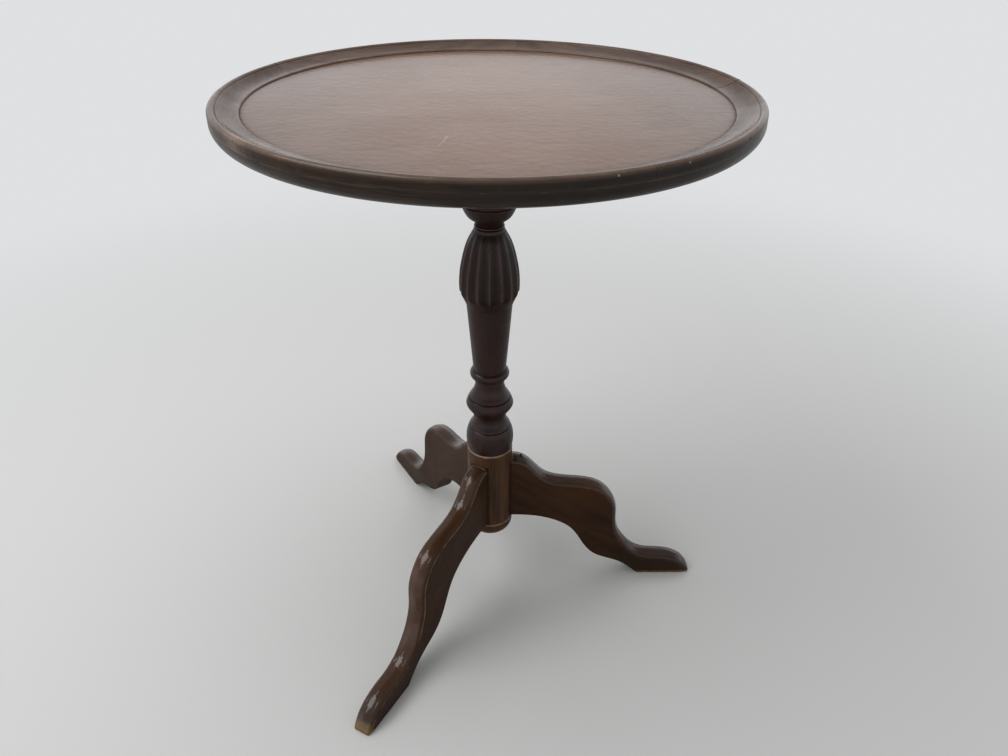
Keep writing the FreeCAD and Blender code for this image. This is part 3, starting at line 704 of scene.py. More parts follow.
def column_outline(sizes):
    """Outline of the column as (radius, height, flute depth), from the spigot's end to the tenon's."""
    z = column_levels(sizes)
    urn_size = (z["urn"], sizes.urn_height, sizes.urn_neck_radius, sizes.urn_radius)
    urn = [(sizes.urn_foot_radius, z["urn"])] + stretch(URN_SWELL_SHARES, *urn_size)
    shoulder = stretch(URN_SHOULDER_SHARES, *urn_size)
    knop = stretch(KNOP_SWELL_SHARES, z["knop"], sizes.knop_height, sizes.urn_neck_radius, sizes.knop_radius)
    neck = stretch(KNOP_NECK_SHARES, z["knop"], sizes.knop_height, sizes.knop_neck_radius, sizes.knop_radius)
    ring_low = (sizes.knop_neck_radius, z["ring"] + RING_NECK_SHARE * sizes.ring_height)
    ring_high = (sizes.shaft_foot_radius, z["ring"] + RING_BODY_SHARE * sizes.ring_height)
    ring_middle = (sizes.ring_radius, (ring_low[1] + ring_high[1]) / 2)
    base = [(0.0, COLUMN_LOW.z), (sizes.spigot_radius, COLUMN_LOW.z), (sizes.spigot_radius, z["urn"])]
    base += through(urn, OUTLINE_STEPS)
    base += [groove(base[-1], shoulder[0], sizes.groove_depth)]
    base += through(shoulder, OUTLINE_STEPS) + through(knop, OUTLINE_STEPS)[1:]
    base += [groove(base[-1], neck[0], sizes.groove_depth)]
    base += through(neck, OUTLINE_STEPS) + [ring_low] + arc(ring_low, ring_middle, ring_high, RING_ARC_STEPS)
    base += [(sizes.shaft_foot_radius, z["shaft"]), (sizes.shaft_head_radius, z["bulb"])]

    shoulder_z = z["bulb"] + BULB_FOOT_SHARE * sizes.bulb_height
    lower = bulb_stretch(BULB_LOWER_SHARES, z["bulb"], shoulder_z, sizes.bulb_foot_radius, sizes)
    upper = bulb_stretch(BULB_UPPER_SHARES, shoulder_z, z["collar"], sizes.bulb_head_radius, sizes)
    bulb = divided(lower + upper[1:], COLUMN_SPACING)

    bowl = stretch(BOWL_SWELL_SHARES, z["bowl"], sizes.bowl_height, sizes.bowl_neck_radius, sizes.bowl_radius)
    stem_height = z["cleat"] - sizes.flange_height - z["stem"]
    stem = stretch(STEM_COVE_SHARES, z["stem"], stem_height, sizes.stem_radius, sizes.flange_radius)
    collar_top = COLLAR_TOP_SHARE * (sizes.collar_radius - sizes.bowl_neck_radius)
    band = (sizes.bowl_neck_radius + collar_top, z["collar"] + COLLAR_BAND_SHARE * sizes.collar_height)
    bead, bead_end = (band[0], band[1] + sizes.groove_width), (sizes.bowl_neck_radius, z["bowl"])
    head = [(sizes.collar_radius, z["collar"]), band, groove(band, bead, sizes.groove_depth), bead]
    head += arc(bead, quarter_middle(bead, bead_end), bead_end, COLLAR_ARC_STEPS)
    head += through(bowl, OUTLINE_STEPS)
    above_groove = (sizes.bowl_radius, head[-1][1] + sizes.groove_width)
    head += [groove(head[-1], above_groove, sizes.groove_depth), above_groove, (sizes.bowl_radius, z["stem"])]
    head += through(stem, OUTLINE_STEPS)
    head += [(sizes.flange_radius, z["cleat"]), (sizes.tenon_radius, z["cleat"])]
    head += [(sizes.tenon_radius, COLUMN_HIGH.z), (0.0, COLUMN_HIGH.z)]
    return unfluted(base) + bulb + unfluted(head)


def column_skin(sizes):
    """The turned column with the flutes of its bulb."""
    pitch = TURN / sizes.flutes
    hollow = pitch * FLUTE_HOLLOW_SHARE
    start = sizes.flute_arris + (pitch - hollow) / 2
    one = [share * hollow for share in FLUTE_POINT_SHARES] + [(hollow + pitch) / 2]
    turns = [start + k * pitch + turn for k in range(sizes.flutes) for turn in one]

    def flute(turn):
        """How deep the flute is at this angle, and how near its arris."""
        across = ((turn - start) % pitch) / hollow
        if across > 1 + SMALL or across < SMALL:
            return 0.0, 1.0
        sunk = 1 - (2 * min(across, 1.0) - 1) ** 2
        return sunk, max(0.0, 1 - FLUTE_ARRIS_FADE * sunk)

    outline = column_outline(sizes)
    skin = Skin()
    masks = corner_masks(outline, COLUMN_SPACING)
    rows = turned(skin, outline, masks, turns, upright_grain, unround=TURNING_UNROUND, flute=flute)
    along = np.gradient(np.array(outline)[:, :2], axis=0)
    facing_up = -along[:, 0] / np.maximum(np.linalg.norm(along, axis=1), SMALL)
    for row in rows:
        for k, up in zip(row, facing_up):
            skin.masks[k] = (*skin.masks[k][:3], COLUMN_POLISH + UPWARD_POLISH * max(up, DOWNWARD_LIMIT))
    return skin


DRUM_STEPS = 144
DRUM_SPACING = 0.0012
DRUM_MASK_REACH = 2.4 * DRUM_SPACING
DRUM_FOOT_WEAR = 0.35
# How far the painted shade reaches out from where a leg meets the drum
LEG_SHADE_REACH = 0.0014


def drum_skin(sizes):
    """The drum under the column, with painted shade where the legs meet it."""
    radius = sizes.drum_radius
    line = [(0.0, DRUM_LOW.z), (radius, DRUM_LOW.z), (radius, DRUM_HIGH.z), (0.0, DRUM_HIGH.z)]
    outline = divided(eased(line, sizes.drum_round), DRUM_SPACING)
    masks = corner_masks(outline, DRUM_MASK_REACH)
    skin = Skin()
    turned(skin, outline, masks, whole_turn(DRUM_STEPS), upright_grain, unround=TURNING_UNROUND)
    # Painted shade on the drum beside each leg, put into the hollow mask
    half = math.asin(sizes.leg_thickness / 2 / radius)
    for k, (x, y, z) in enumerate(skin.places):
        turn = math.atan2(y, x)
        apart = min(abs((turn - leg + math.pi) % TURN - math.pi) for leg in LEG_TURNS) - half
        near = math.exp(-max(0.0, apart) * radius / LEG_SHADE_REACH) * (z < sizes.leg_height)
        arris, hollow, rub, polish = skin.masks[k]
        worn = arris if z > sizes.leg_height else arris * DRUM_FOOT_WEAR
        skin.masks[k] = (worn, max(hollow, near), rub, polish)
    return skin


def cap_skin(sizes):
    """The rounded cap that closes the drum."""
    rim, top_z = CAP_HIGH.x, DRUM_LOW.z
    flat, edge = (sizes.cap_flat, CAP_LOW.z), (rim, top_z - sizes.cap_edge)
    line = [(0.0, CAP_LOW.z), flat] + arc(flat, quarter_middle(edge, flat), edge, EDGE_ARC_STEPS)
    line += [(rim, top_z - sizes.cap_round), (rim - sizes.cap_round, top_z), (0.0, top_z)]
    outline = divided(eased(line, CORNER_EASE), DRUM_SPACING)
    masks = [
        (arris * (z > edge[1]), hollow)
        for (_, z), (arris, hollow) in zip(outline, corner_masks(outline, DRUM_SPACING))
    ]
    skin = Skin()
    turned(skin, outline, masks, whole_turn(DRUM_STEPS), upright_grain, unround=TURNING_UNROUND)
    return skin


LEG_STATIONS = 150
LEG_CURVE_POINTS = 300
LEG_SIDE_STEPS = 12
LEG_FLAT_STEPS = 6
LEG_ROUND_STEPS = 10
# Largest roundings and crown as shares of a leg's depth
TOP_ROUND_LIMIT = 0.4
UNDER_ROUND_LIMIT = 0.25
CROWN_LIMIT = 0.1
LEG_GRAIN_SLOPE = math.radians(-32)
LEG_GRAIN_STEP = 3
LEG_UNEVEN = 0.00025
LEG_UNEVEN_SCALE = 35
LEG_UNEVEN_STEP = 9
ARRIS_REACH = 0.0024
ARRIS_WIDTH = 0.0011
ARRIS_TURN = 0.25
ROOT_END_RUB = 1.6
SIDE_POLISH = 0.05
KNEE_SHARE = 0.6
BELOW_KNEE_RUB = 0.6
TOE_RUB_REACH = 0.011
TOE_RUB_HEIGHT = 0.017
TOE_NARROWING = 0.2
SOLE_RUB_REACH = 0.0048

# How far each leg's arrises are rubbed, on its two sides, how bare its toe and its sole are,
# and how fast the polish of its upper face gives out over the shoulder
LEG_ARRIS_RUBS = ((0.45, 0.4), (0.4, 0.5), (0.45, 1.0))
LEG_TOE_RUBS = (0.45, 0.5, 1.0)
LEG_SOLE_RUBS = (0.85, 0.85, 0.4)
LEG_SHOULDER_DULLING = (0.6, 1.5, 3.0)


def leg_edges(sizes, reach):
    """Upper and lower edge of a leg as matching stations in its own plane, from the drum to the toe."""
    def curve(shares, height):
        poles = [(sizes.drum_radius + x * reach, z * height) for x, z in shares]
        return drawn_towards(poles, LEG_CURVE_POINTS)

    top = evenly(curve(LEG_TOP_SHARES, sizes.leg_height), LEG_STATIONS)
    under = curve(LEG_UNDER_SHARES, sizes.leg_height - sizes.leg_root)
    heel = int(np.argmax(top[:, 0] > sizes.drum_radius + HEEL_TOP_SHARE * reach))
    toe = np.array((sizes.drum_radius + TOE_FOOT_SHARE * reach, 0.0))
    sole = np.linspace(np.array(under[-1]), toe, LEG_STATIONS - heel + 1)[1:]
    return top, np.concatenate([evenly(under, heel), sole])


def inward(line, toward):
    """Unit normals of a line that point to the side of the other line."""
    along = np.gradient(line, axis=0)
    along /= np.linalg.norm(along, axis=1)[:, None]
    normal = np.stack([-along[:, 1], along[:, 0]], 1)
    flip = np.sign(np.sum(normal * (toward - line), axis=1))
    return normal * np.where(flip == 0, 1, flip)[:, None]


def leg_section(sizes, upper, lower, upper_normal, lower_normal, dulling):
    """One section of a leg, from the middle of its lower face up and over.

    Its points are (place in the plane, sideways, arris, polish).
    """
    half = sizes.leg_thickness / 2
    depth = np.linalg.norm(upper - lower)
    top_round = min(sizes.leg_top_round, TOP_ROUND_LIMIT * depth)
    under_round = min(sizes.leg_under_round, UNDER_ROUND_LIMIT * depth)
    crown = min(sizes.leg_crown, CROWN_LIMIT * depth)
    shoulder = upper + upper_normal * crown
    quarter = [math.pi / 2 * k / LEG_ROUND_STEPS for k in range(LEG_ROUND_STEPS)]
    flat = half * (1 - under_round / half)
    side = [(lower, flat * k / LEG_FLAT_STEPS, 0.0, 0.0) for k in range(LEG_FLAT_STEPS)]
    for a in quarter:
        place = lower + lower_normal * under_round * (1 - math.cos(a))
        side.append((place, half - under_round * (1 - math.sin(a)), math.sin(a) * math.cos(a), 0.0))
    start, end = lower + lower_normal * under_round, shoulder + upper_normal * top_round
    for k in range(LEG_SIDE_STEPS):
        near = math.exp(-((1 - k / LEG_SIDE_STEPS) * np.linalg.norm(end - start) / ARRIS_WIDTH) ** 2)
        side.append((start + (end - start) * k / LEG_SIDE_STEPS, half, near, SIDE_POLISH))
    for a in quarter:
        place = shoulder + upper_normal * top_round * (1 - math.sin(a))
        near = math.exp(-((a - ARRIS_TURN) * top_round / ARRIS_WIDTH) ** 2)
        sheen = SIDE_POLISH + (1 - SIDE_POLISH) * math.sin(a) ** dulling
        side.append((place, half - top_round * (1 - math.cos(a)), near, sheen))
    for k in range(LEG_FLAT_STEPS + 1):
        out = 1 - k / LEG_FLAT_STEPS
        side.append((upper + upper_normal * crown * out * out, (half - top_round) * out, 0.0, 1.0))
    other = [(place, -across, near, sheen) for place, across, near, sheen in side]
    return other + side[-2::-1]


def leg_skin(sizes, index):
    """A sawn leg, scribed round the drum, with softened arrises and a rubbed toe."""
    reach = sizes.leg_reach * LEG_REACH_SHARES[index]
    toe = sizes.drum_radius + reach
    top, under = leg_edges(sizes, reach)
    stations = list(zip(top, under, inward(top, under), inward(under, top)))
    spin = Matrix.Rotation(LEG_TURNS[index], 3, "Z")
    drum = sizes.drum_radius + sizes.fit_gap
    knee = sizes.drum_radius + KNEE_SHARE * reach
    c, s = math.cos(LEG_GRAIN_SLOPE), math.sin(LEG_GRAIN_SLOPE)
    skin = Skin()
    rows = []
    for k in range(-1, LEG_STATIONS):
        row = []
        section = leg_section(sizes, *stations[max(k, 0)], LEG_SHOULDER_DULLING[index])
        for (x, z), across, near, sheen in section:
            scribed = math.sqrt(max(0.0, drum ** 2 - across ** 2))
            x = scribed if k < 0 else max(x, scribed)
            place = Vector((x, across, z))
            near *= LEG_ARRIS_RUBS[index][int(across > 0)]
            if x > knee:
                near *= BELOW_KNEE_RUB
            end = max(0.0, sizes.leg_height - 2 * sizes.leg_crown - z) + abs(x - scribed)
            near = max(near, ROOT_END_RUB * math.exp(-end / ARRIS_WIDTH))
            # Painted shade on the leg's root where it meets the drum, put into the hollow mask
            hollow = math.exp(-(x - scribed) / LEG_SHADE_REACH) * (z < sizes.leg_height - ARRIS_REACH)
            toe_rub = math.exp(-((toe - x) / TOE_RUB_REACH) ** 2 - (z / TOE_RUB_HEIGHT) ** 2)
            sole_rub = math.exp(-(z / SOLE_RUB_REACH) ** 4)
            rub = max(LEG_TOE_RUBS[index] * toe_rub, LEG_SOLE_RUBS[index] * sole_rub)
            spot = Vector((x, across, z)) * LEG_UNEVEN_SCALE + Vector((index * LEG_UNEVEN_STEP, 0.0, 0.0))
            uneven = noise.noise(spot) * LEG_UNEVEN
            place.y += uneven * (x - scribed > ARRIS_REACH) - math.copysign(LEG_UNEVEN / 2, across)
            place.y *= 1 - TOE_NARROWING * max(0.0, 1 - (toe - x) / TOE_RUB_REACH) ** 2
            timber = (x * c + z * s + index * LEG_GRAIN_STEP, z * c - x * s, across)
            row.append(skin.point(spin @ place, timber, min(near, 1.0), hollow, rub, sheen))
        rows.append(row)
    skin.weave(rows, ring=True)
    skin.lid(rows[0])
    skin.lid(rows[-1])
    return skin


# Shader nodes


class Graph:
    """The nodes of one material or node group, joined by plain calls."""

    COLUMNS = 12
    SPACING = (190, -260)
    # Sockets of a Mix node that mixes colours, by number, since their names repeat
    MIX_FIRST, MIX_SECOND, MIX_RESULT = 6, 7, 2

    def __init__(self, tree):
        self.tree = tree
        self.count = 0

    def node(self, kind, **settings):
        made = self.tree.nodes.new(kind)
        self.count += 1
        made.location = (
            self.count % self.COLUMNS * self.SPACING[0], self.count // self.COLUMNS * self.SPACING[1]
        )
        for key, value in settings.items():
            setattr(made, key, value)
        return made

    def feed(self, socket, value):
        if isinstance(value, bpy.types.NodeSocket):
            self.tree.links.new(value, socket)
        elif hasattr(value, "__len__") and len(value) == 3 and len(socket.default_value) == 4:
            socket.default_value = (*value, 1.0)
        else:
            socket.default_value = value

    def fed(self, node, **values):
        """The node with its named inputs fed; an underscore stands for a space."""
        for name, value in values.items():
            self.feed(node.inputs[name.replace("_", " ")], value)
        return node

    def close(self, shader, kind="ShaderNodeOutputMaterial"):
        self.fed(self.node(kind), Surface=shader.outputs[0])

    def attribute(self, name):
        return self.node("ShaderNodeAttribute", attribute_name=name)

    def place(self):
        return self.node("ShaderNodeTexCoord").outputs["Object"]

    def vector(self, operation, first, second, output="Vector"):
        made = self.node("ShaderNodeVectorMath", operation=operation)
        self.feed(made.inputs[0], first)
        self.feed(made.inputs[1], second)
        return made.outputs[output]

    def scaled(self, vector, scale):
        return self.vector("MULTIPLY", vector, scale)

    def apart(self, vector, centre=(0.0, 0.0, 0.0)):
        return self.vector("DISTANCE", vector, centre, "Value")

    def noise(self, vector, scale, detail=2.0, roughness=0.5):
        made = self.node("ShaderNodeTexNoise")
        return self.fed(made, Vector=vector, Scale=scale, Detail=detail, Roughness=roughness).outputs[0]

    def maths(self, operation, first, second=0.0, clamp=False):
        made = self.node("ShaderNodeMath", operation=operation, use_clamp=clamp)
        self.feed(made.inputs[0], first)
        self.feed(made.inputs[1], second)
        return made.outputs[0]

    def times(self, first, second, clamp=False):
        return self.maths("MULTIPLY", first, second, clamp)

    def plus(self, first, second, clamp=False):
        return self.maths("ADD", first, second, clamp)

    def minus(self, first, second):
        return self.maths("SUBTRACT", first, second)

    def between(self, value, low, high, to_low=0.0, to_high=1.0):
        """A smooth step of the value between two limits."""
        made = self.node("ShaderNodeMapRange", interpolation_type="SMOOTHSTEP")
        for socket, setting in zip(made.inputs, (value, low, high, to_low, to_high)):
            self.feed(socket, setting)
        return made.outputs[0]

    def mix(self, share, first, second, blend="MIX"):
        made = self.node("ShaderNodeMix", data_type="RGBA", blend_type=blend)
        self.feed(made.inputs[0], share)
        self.feed(made.inputs[self.MIX_FIRST], first)
        self.feed(made.inputs[self.MIX_SECOND], second)
        return made.outputs[self.MIX_RESULT]

    def split(self, vector):
        made = self.node("ShaderNodeSeparateXYZ")
        self.feed(made.inputs[0], vector)
        return made.outputs

    def joined(self, x, y, z):
        made = self.node("ShaderNodeCombineXYZ")
        for socket, value in zip(made.inputs, (x, y, z)):
            self.feed(socket, value)
        return made.outputs[0]

    def bump(self, height, strength, distance, normal=None):
        made = self.fed(self.node("ShaderNodeBump"), Height=height, Strength=strength, Distance=distance)
        if normal is not None:
            self.feed(made.inputs["Normal"], normal)
        return made.outputs[0]

    def group(self, tree, **values):
        return self.fed(self.node("ShaderNodeGroup", node_tree=tree), **values).outputs


def node_group(name, inputs, *outputs):
    """Turn a function that fills a node group into one that builds the group once and hands it out.

    An input without a default is a vector.
    """
    def wrap(fill):
        def shared():
            if name in bpy.data.node_groups:
                return bpy.data.node_groups[name]
            tree = bpy.data.node_groups.new(name, "ShaderNodeTree")
            for socket, default in inputs.items():
                kind = "NodeSocketVector" if default is None else "NodeSocketFloat"
                made = tree.interface.new_socket(socket, in_out="INPUT", socket_type=kind)
                if default is not None:
                    made.default_value = default
            for socket in outputs:
                tree.interface.new_socket(socket, in_out="OUTPUT", socket_type="NodeSocketFloat")
            graph = Graph(tree)
            fill(graph, graph.node("NodeGroupInput").outputs, graph.node("NodeGroupOutput").inputs)
            return tree
        return shared
    return wrap


FIBRES_PER_METRE = 520.0
PORES_PER_FIBRE = 2.4
# How far wander, bands, fibres and pores are drawn out along the grain
WANDER_SQUEEZE = (4.0, 26.0, 26.0)
BAND_SQUEEZE = (0.14, 1.0, 1.0)
FIBRE_SQUEEZE = (0.035, 1.0, 1.0)
PORE_SQUEEZE = (0.03, 1.0, 1.0)
# Fine scratches as (angle, how far they are drawn out)
HAIR_SCRATCHES = ((0.5, (14.0, 700.0, 260.0)), (-0.9, (20.0, 900.0, 330.0)))
SCRATCH_TAPER = 0.008
FLAT = (1.0, 1.0, 0.0)


@node_group(
    "Timber grain", {"Timber": None, "Band width": 0.02, "Fineness": 1.0, "Waver": 0.004},
    "Bands", "Fibre", "Pores",
)
def timber_grain(graph, given, out):
    """Bands, fibres and pores of a board whose grain runs along its first timber coordinate."""
    wander = graph.noise(graph.scaled(given["Timber"], WANDER_SQUEEZE), 1.0, 2.0)
    shift = graph.times(graph.minus(wander, 0.5), given["Waver"])
    place = graph.vector("ADD", given["Timber"], graph.joined(0.0, shift, shift))
    across = graph.maths("DIVIDE", 1.0, given["Band width"])
    graph.feed(out["Bands"], graph.noise(graph.scaled(place, BAND_SQUEEZE), across, 3.0, 0.55))
    fine = graph.times(given["Fineness"], FIBRES_PER_METRE)
    graph.feed(out["Fibre"], graph.noise(graph.scaled(place, FIBRE_SQUEEZE), fine, 4.0, 0.6))
    pore = graph.noise(graph.scaled(place, PORE_SQUEEZE), graph.times(fine, PORES_PER_FIBRE), 1.0, 0.4)
    graph.feed(out["Pores"], graph.between(pore, 0.6, 0.74))


@node_group("Edge wear", {"Place": None, "Arris": 0.0, "Amount": 0.5, "Patch": 0.012}, "Worn")
def edge_wear(graph, given, out):
    """Patches where the finish is rubbed through along an arris."""
    patches = graph.noise(given["Place"], graph.maths("DIVIDE", 1.0, given["Patch"]), 4.0, 0.62)
    level = graph.times(given["Arris"], graph.between(patches, 0.32, 0.66, 0.5, 1.12))
    start = graph.minus(1.0, given["Amount"])
    graph.feed(out["Worn"], graph.between(level, start, graph.plus(start, 0.3)))


@node_group("Old polish", {"Place": None, "Hollow": 0.0, "Amount": 0.7}, "Dirt")
def old_polish_and_shade(graph, given, out):
    """Old polish and soiling that gather in the hollows, and painted shade where parts meet."""
    cloud = graph.noise(given["Place"], 130.0, 3.0, 0.6)
    held = graph.times(given["Hollow"], graph.between(cloud, 0.2, 0.75, 0.55, 1.2))
    graph.feed(out["Dirt"], graph.times(held, given["Amount"], clamp=True))


@node_group("Handling", {"Place": None, "Amount": 0.5}, "Scratches", "Dull")
def handling(graph, given, out):
    """Fine scratches in two directions, and soft blotches of dulled polish."""
    layers = []
    for turn, squeeze in HAIR_SCRATCHES:
        spin = graph.node("ShaderNodeVectorRotate", rotation_type="Z_AXIS")
        spun = graph.fed(spin, Vector=given["Place"], Angle=turn).outputs[0]
        hair = graph.noise(graph.scaled(spun, squeeze), 1.0, 1.0, 0.4)
        layers.append(graph.between(hair, 0.71, 0.78))
    where = graph.between(graph.noise(given["Place"], 22.0, 3.0), 0.45, 0.7)
    both = graph.times(graph.maths("MAXIMUM", *layers), where)
    graph.feed(out["Scratches"], graph.times(both, given["Amount"], clamp=True))
    graph.feed(out["Dull"], graph.between(graph.noise(given["Place"], 9.0, 5.0, 0.65), 0.3, 0.72))


@node_group(
    "Long scratch",
    {"Place": None, "Centre": None, "Radius": 0.2, "Width": 0.0006, "From": -0.1, "To": 0.0}, "Scratch",
)
def long_scratch(graph, given, out):
    """One curved scratch: part of a circle in plan, between two lines across."""
    away = graph.apart(graph.scaled(given["Place"], FLAT), given["Centre"])
    off = graph.maths("ABSOLUTE", graph.minus(away, given["Radius"]))
    rough = graph.between(graph.noise(given["Place"], 420.0, 3.0), 0.3, 0.65, 0.25, 1.0)
    line = graph.between(off, graph.times(given["Width"], rough), 0.0)
    y = graph.split(given["Place"])["Y"]
    first = graph.between(y, given["From"], graph.plus(given["From"], SCRATCH_TAPER))
    last = graph.between(y, given["To"], graph.minus(given["To"], SCRATCH_TAPER))
    graph.feed(out["Scratch"], graph.times(line, graph.times(first, last)))


# Finishes

GRAIN_RELIEF = 0.00012
GRAIN_STRENGTH = 0.4
BAND_SHARE, FIBRE_SHARE = 0.62, 0.38
BAND_ROUGHNESS = 0.07
DULL_ROUGHNESS = 0.14
SCRATCH_ROUGHNESS = 0.2
DIRT_ROUGHNESS = 0.15
PORE_DEPTH = 0.8
SCRATCH_DEPTH = 0.6
DIRT_DULLING = 0.8
WORN_DARK, WORN_LIGHT = 0.62, 1.2


def new_material(name):
    """A material with an empty node tree."""
    material = bpy.data.materials.new(name)
    material.use_nodes = True
    material.node_tree.nodes.clear()
    return material


def toned(shade, share):
    """A colour made darker or lighter by a share."""
    return tuple(min(1.0, c * share) for c in shade)


class Wood(Graph):
    """A timber material: grain first, then wear, then polish, and at last its shader."""

    def __init__(self, name, dark, light, band=0.02, fineness=1.0, waver=0.004, contrast=(0.3, 0.72),
                 across=False):
        self.material = new_material(name)
        super().__init__(self.material.node_tree)
        self.spot = self.place()
        self.x, self.y, self.z = self.split(self.spot)
        masks = [self.attribute(mask).outputs["Fac"] for mask in Skin.MASKS]
        self.arris, self.hollow, self.rub, self.polish = masks
        if across:
            self.timber = self.joined(self.y, self.x, self.z)
        else:
            self.timber = self.attribute("timber").outputs["Vector"]
        grain = self.group(
            timber_grain(), Timber=self.timber, Band_width=band, Fineness=fineness, Waver=waver
        )
        self.bands, self.fibre, self.pores = grain["Bands"], grain["Fibre"], grain["Pores"]
        tone = self.plus(self.times(self.bands, BAND_SHARE), self.times(self.fibre, FIBRE_SHARE))
        self.tone = self.between(tone, *contrast)
        self.colour = self.mix(self.tone, dark, light)

    def paint(self, share, shade):
        self.colour = self.mix(share, self.colour, shade)

    def dim(self, share, shade):
        self.colour = self.mix(share, self.colour, shade, blend="MULTIPLY")

    def dim_pores(self, share, shade):
        self.dim(self.times(self.pores, share), shade)

    def wear(self, amount, patch, shade, strength):
        worn = self.group(edge_wear(), Place=self.spot, Arris=self.arris, Amount=amount, Patch=patch)
        grainy = self.mix(self.fibre, toned(shade, WORN_DARK), toned(shade, WORN_LIGHT))
        self.paint(self.times(worn["Worn"], strength), grainy)

    def dirt_and_shade(self, amount, shade):
        # Darkens the hollows: old polish and dirt in corners and sunk lines, and painted shade where parts
        # meet
        held = self.group(old_polish_and_shade(), Place=self.spot, Hollow=self.hollow, Amount=amount)
        self.paint(held["Dirt"], shade)

    def finish(
        self, roughness, relief=GRAIN_RELIEF, specular=0.12, coat=1.0, coat_roughness=0.25, dulled=0.35,
        marks=0.5, ripple=0.0002, ripple_width=0.008,
    ):
        """Close the material: roughness, relief and polish follow the grain, the pores and the handling."""
        hand = self.group(handling(), Place=self.spot, Amount=marks)
        rough = self.between(self.bands, 0.2, 0.8, 0.0, BAND_ROUGHNESS)
        rough = self.plus(rough, self.times(hand["Dull"], DULL_ROUGHNESS))
        rough = self.plus(rough, self.times(hand["Scratches"], SCRATCH_ROUGHNESS))
        rough = self.plus(rough, self.times(self.hollow, DIRT_ROUGHNESS))
        height = self.minus(self.fibre, self.times(self.pores, PORE_DEPTH))
        height = self.minus(height, self.times(hand["Scratches"], SCRATCH_DEPTH))
        uneven = self.bump(self.noise(self.spot, 1 / ripple_width, 2.0), 1.0, ripple)
        shader = self.fed(
            self.node("ShaderNodeBsdfPrincipled"), Base_Color=self.colour,
            Roughness=self.plus(rough, roughness, clamp=True),
            Normal=self.bump(height, GRAIN_STRENGTH, relief, uneven), Specular_IOR_Level=specular,
        )
        if coat:
            clear = self.between(hand["Dull"], 0.0, 1.0, coat, coat * (1 - dulled))
            clear = self.times(clear, self.minus(1.0, self.times(self.hollow, DIRT_DULLING)))
            self.fed(
                shader, Coat_Weight=self.times(clear, self.polish), Coat_Normal=uneven,
                Coat_Roughness=coat_roughness,
            )
        self.close(shader)
        return self.material


EDGE_STREAK_SQUEEZE = (28.0, 28.0, 520.0)
# Sides of the table between which the edge's painted reflection goes from faded to full
EDGE_PAINTED_SHEEN_FADED, EDGE_PAINTED_SHEEN_FULL = 0.14, -0.14


def edge_tone(wood, looks):
    """The dark outer edge, partly stain and partly painted shade, streaked along its run and made paler on
    the left side by a painted reflection.
    """
    streaks = wood.noise(wood.scaled(wood.spot, EDGE_STREAK_SQUEEZE), 1.0, 3.0, 0.6)
    # Painted reflection: the streaks are made paler towards the left side and darker towards the right
    side = wood.between(wood.x, EDGE_PAINTED_SHEEN_FADED, EDGE_PAINTED_SHEEN_FULL, 0.3, 1.3)
    tone = wood.times(wood.between(streaks, 0.3, 0.72), side)
    shade = wood.mix(tone, looks.edge_dark, looks.edge_light)
    cloud = wood.noise(wood.spot, 14.0, 3.0)
    return wood.mix(wood.between(cloud, 0.35, 0.7, 0.0, 0.5), shade, looks.edge_dark)


# Scratches on the field as (centre of the circle, radius, first and last line across, strength)
FIELD_SCRATCHES = (
    ((-0.180, -0.096, 0.0), 0.149, -0.148, -0.114, 0.9),
    ((0.420, -0.300, 0.0), 0.395, -0.052, 0.004, 0.16),
    ((-0.310, 0.330, 0.0), 0.300, 0.061, 0.118, 0.12),
)
SCRATCH_WIDTH = 0.0009
# Painted reflection on the field: it is darkened away from a pale middle, as if the middle mirrored a bright
# light
FIELD_PAINTED_SHEEN_SHAPE = (1.3, 0.8, 0.0)
FIELD_PAINTED_SHEEN_REACH, FIELD_PAINTED_SHADE_REACH = 0.06, 0.27
FIELD_CLOUD_SQUEEZE, FIELD_CLOUD_SHADE = (2.2, 5.0, 1.0), (0.80, 0.74, 0.70)
FIELD_MOTTLE_SQUEEZE, FIELD_MOTTLE_SHADE = (0.6, 1.0, 1.0), (0.78, 0.74, 0.72)
FIELD_PAINTED_SHADE = (0.62, 0.62, 0.64)
FIELD_PORE_SHADE = (0.55, 0.47, 0.42)
# Depths below the field and heights above the underside between which one finish turns into the next
EDGE_STARTS, EDGE_FULL = 0.0004, 0.0012
UNDER_STARTS, UNDER_FULL = 0.003, 0.0004


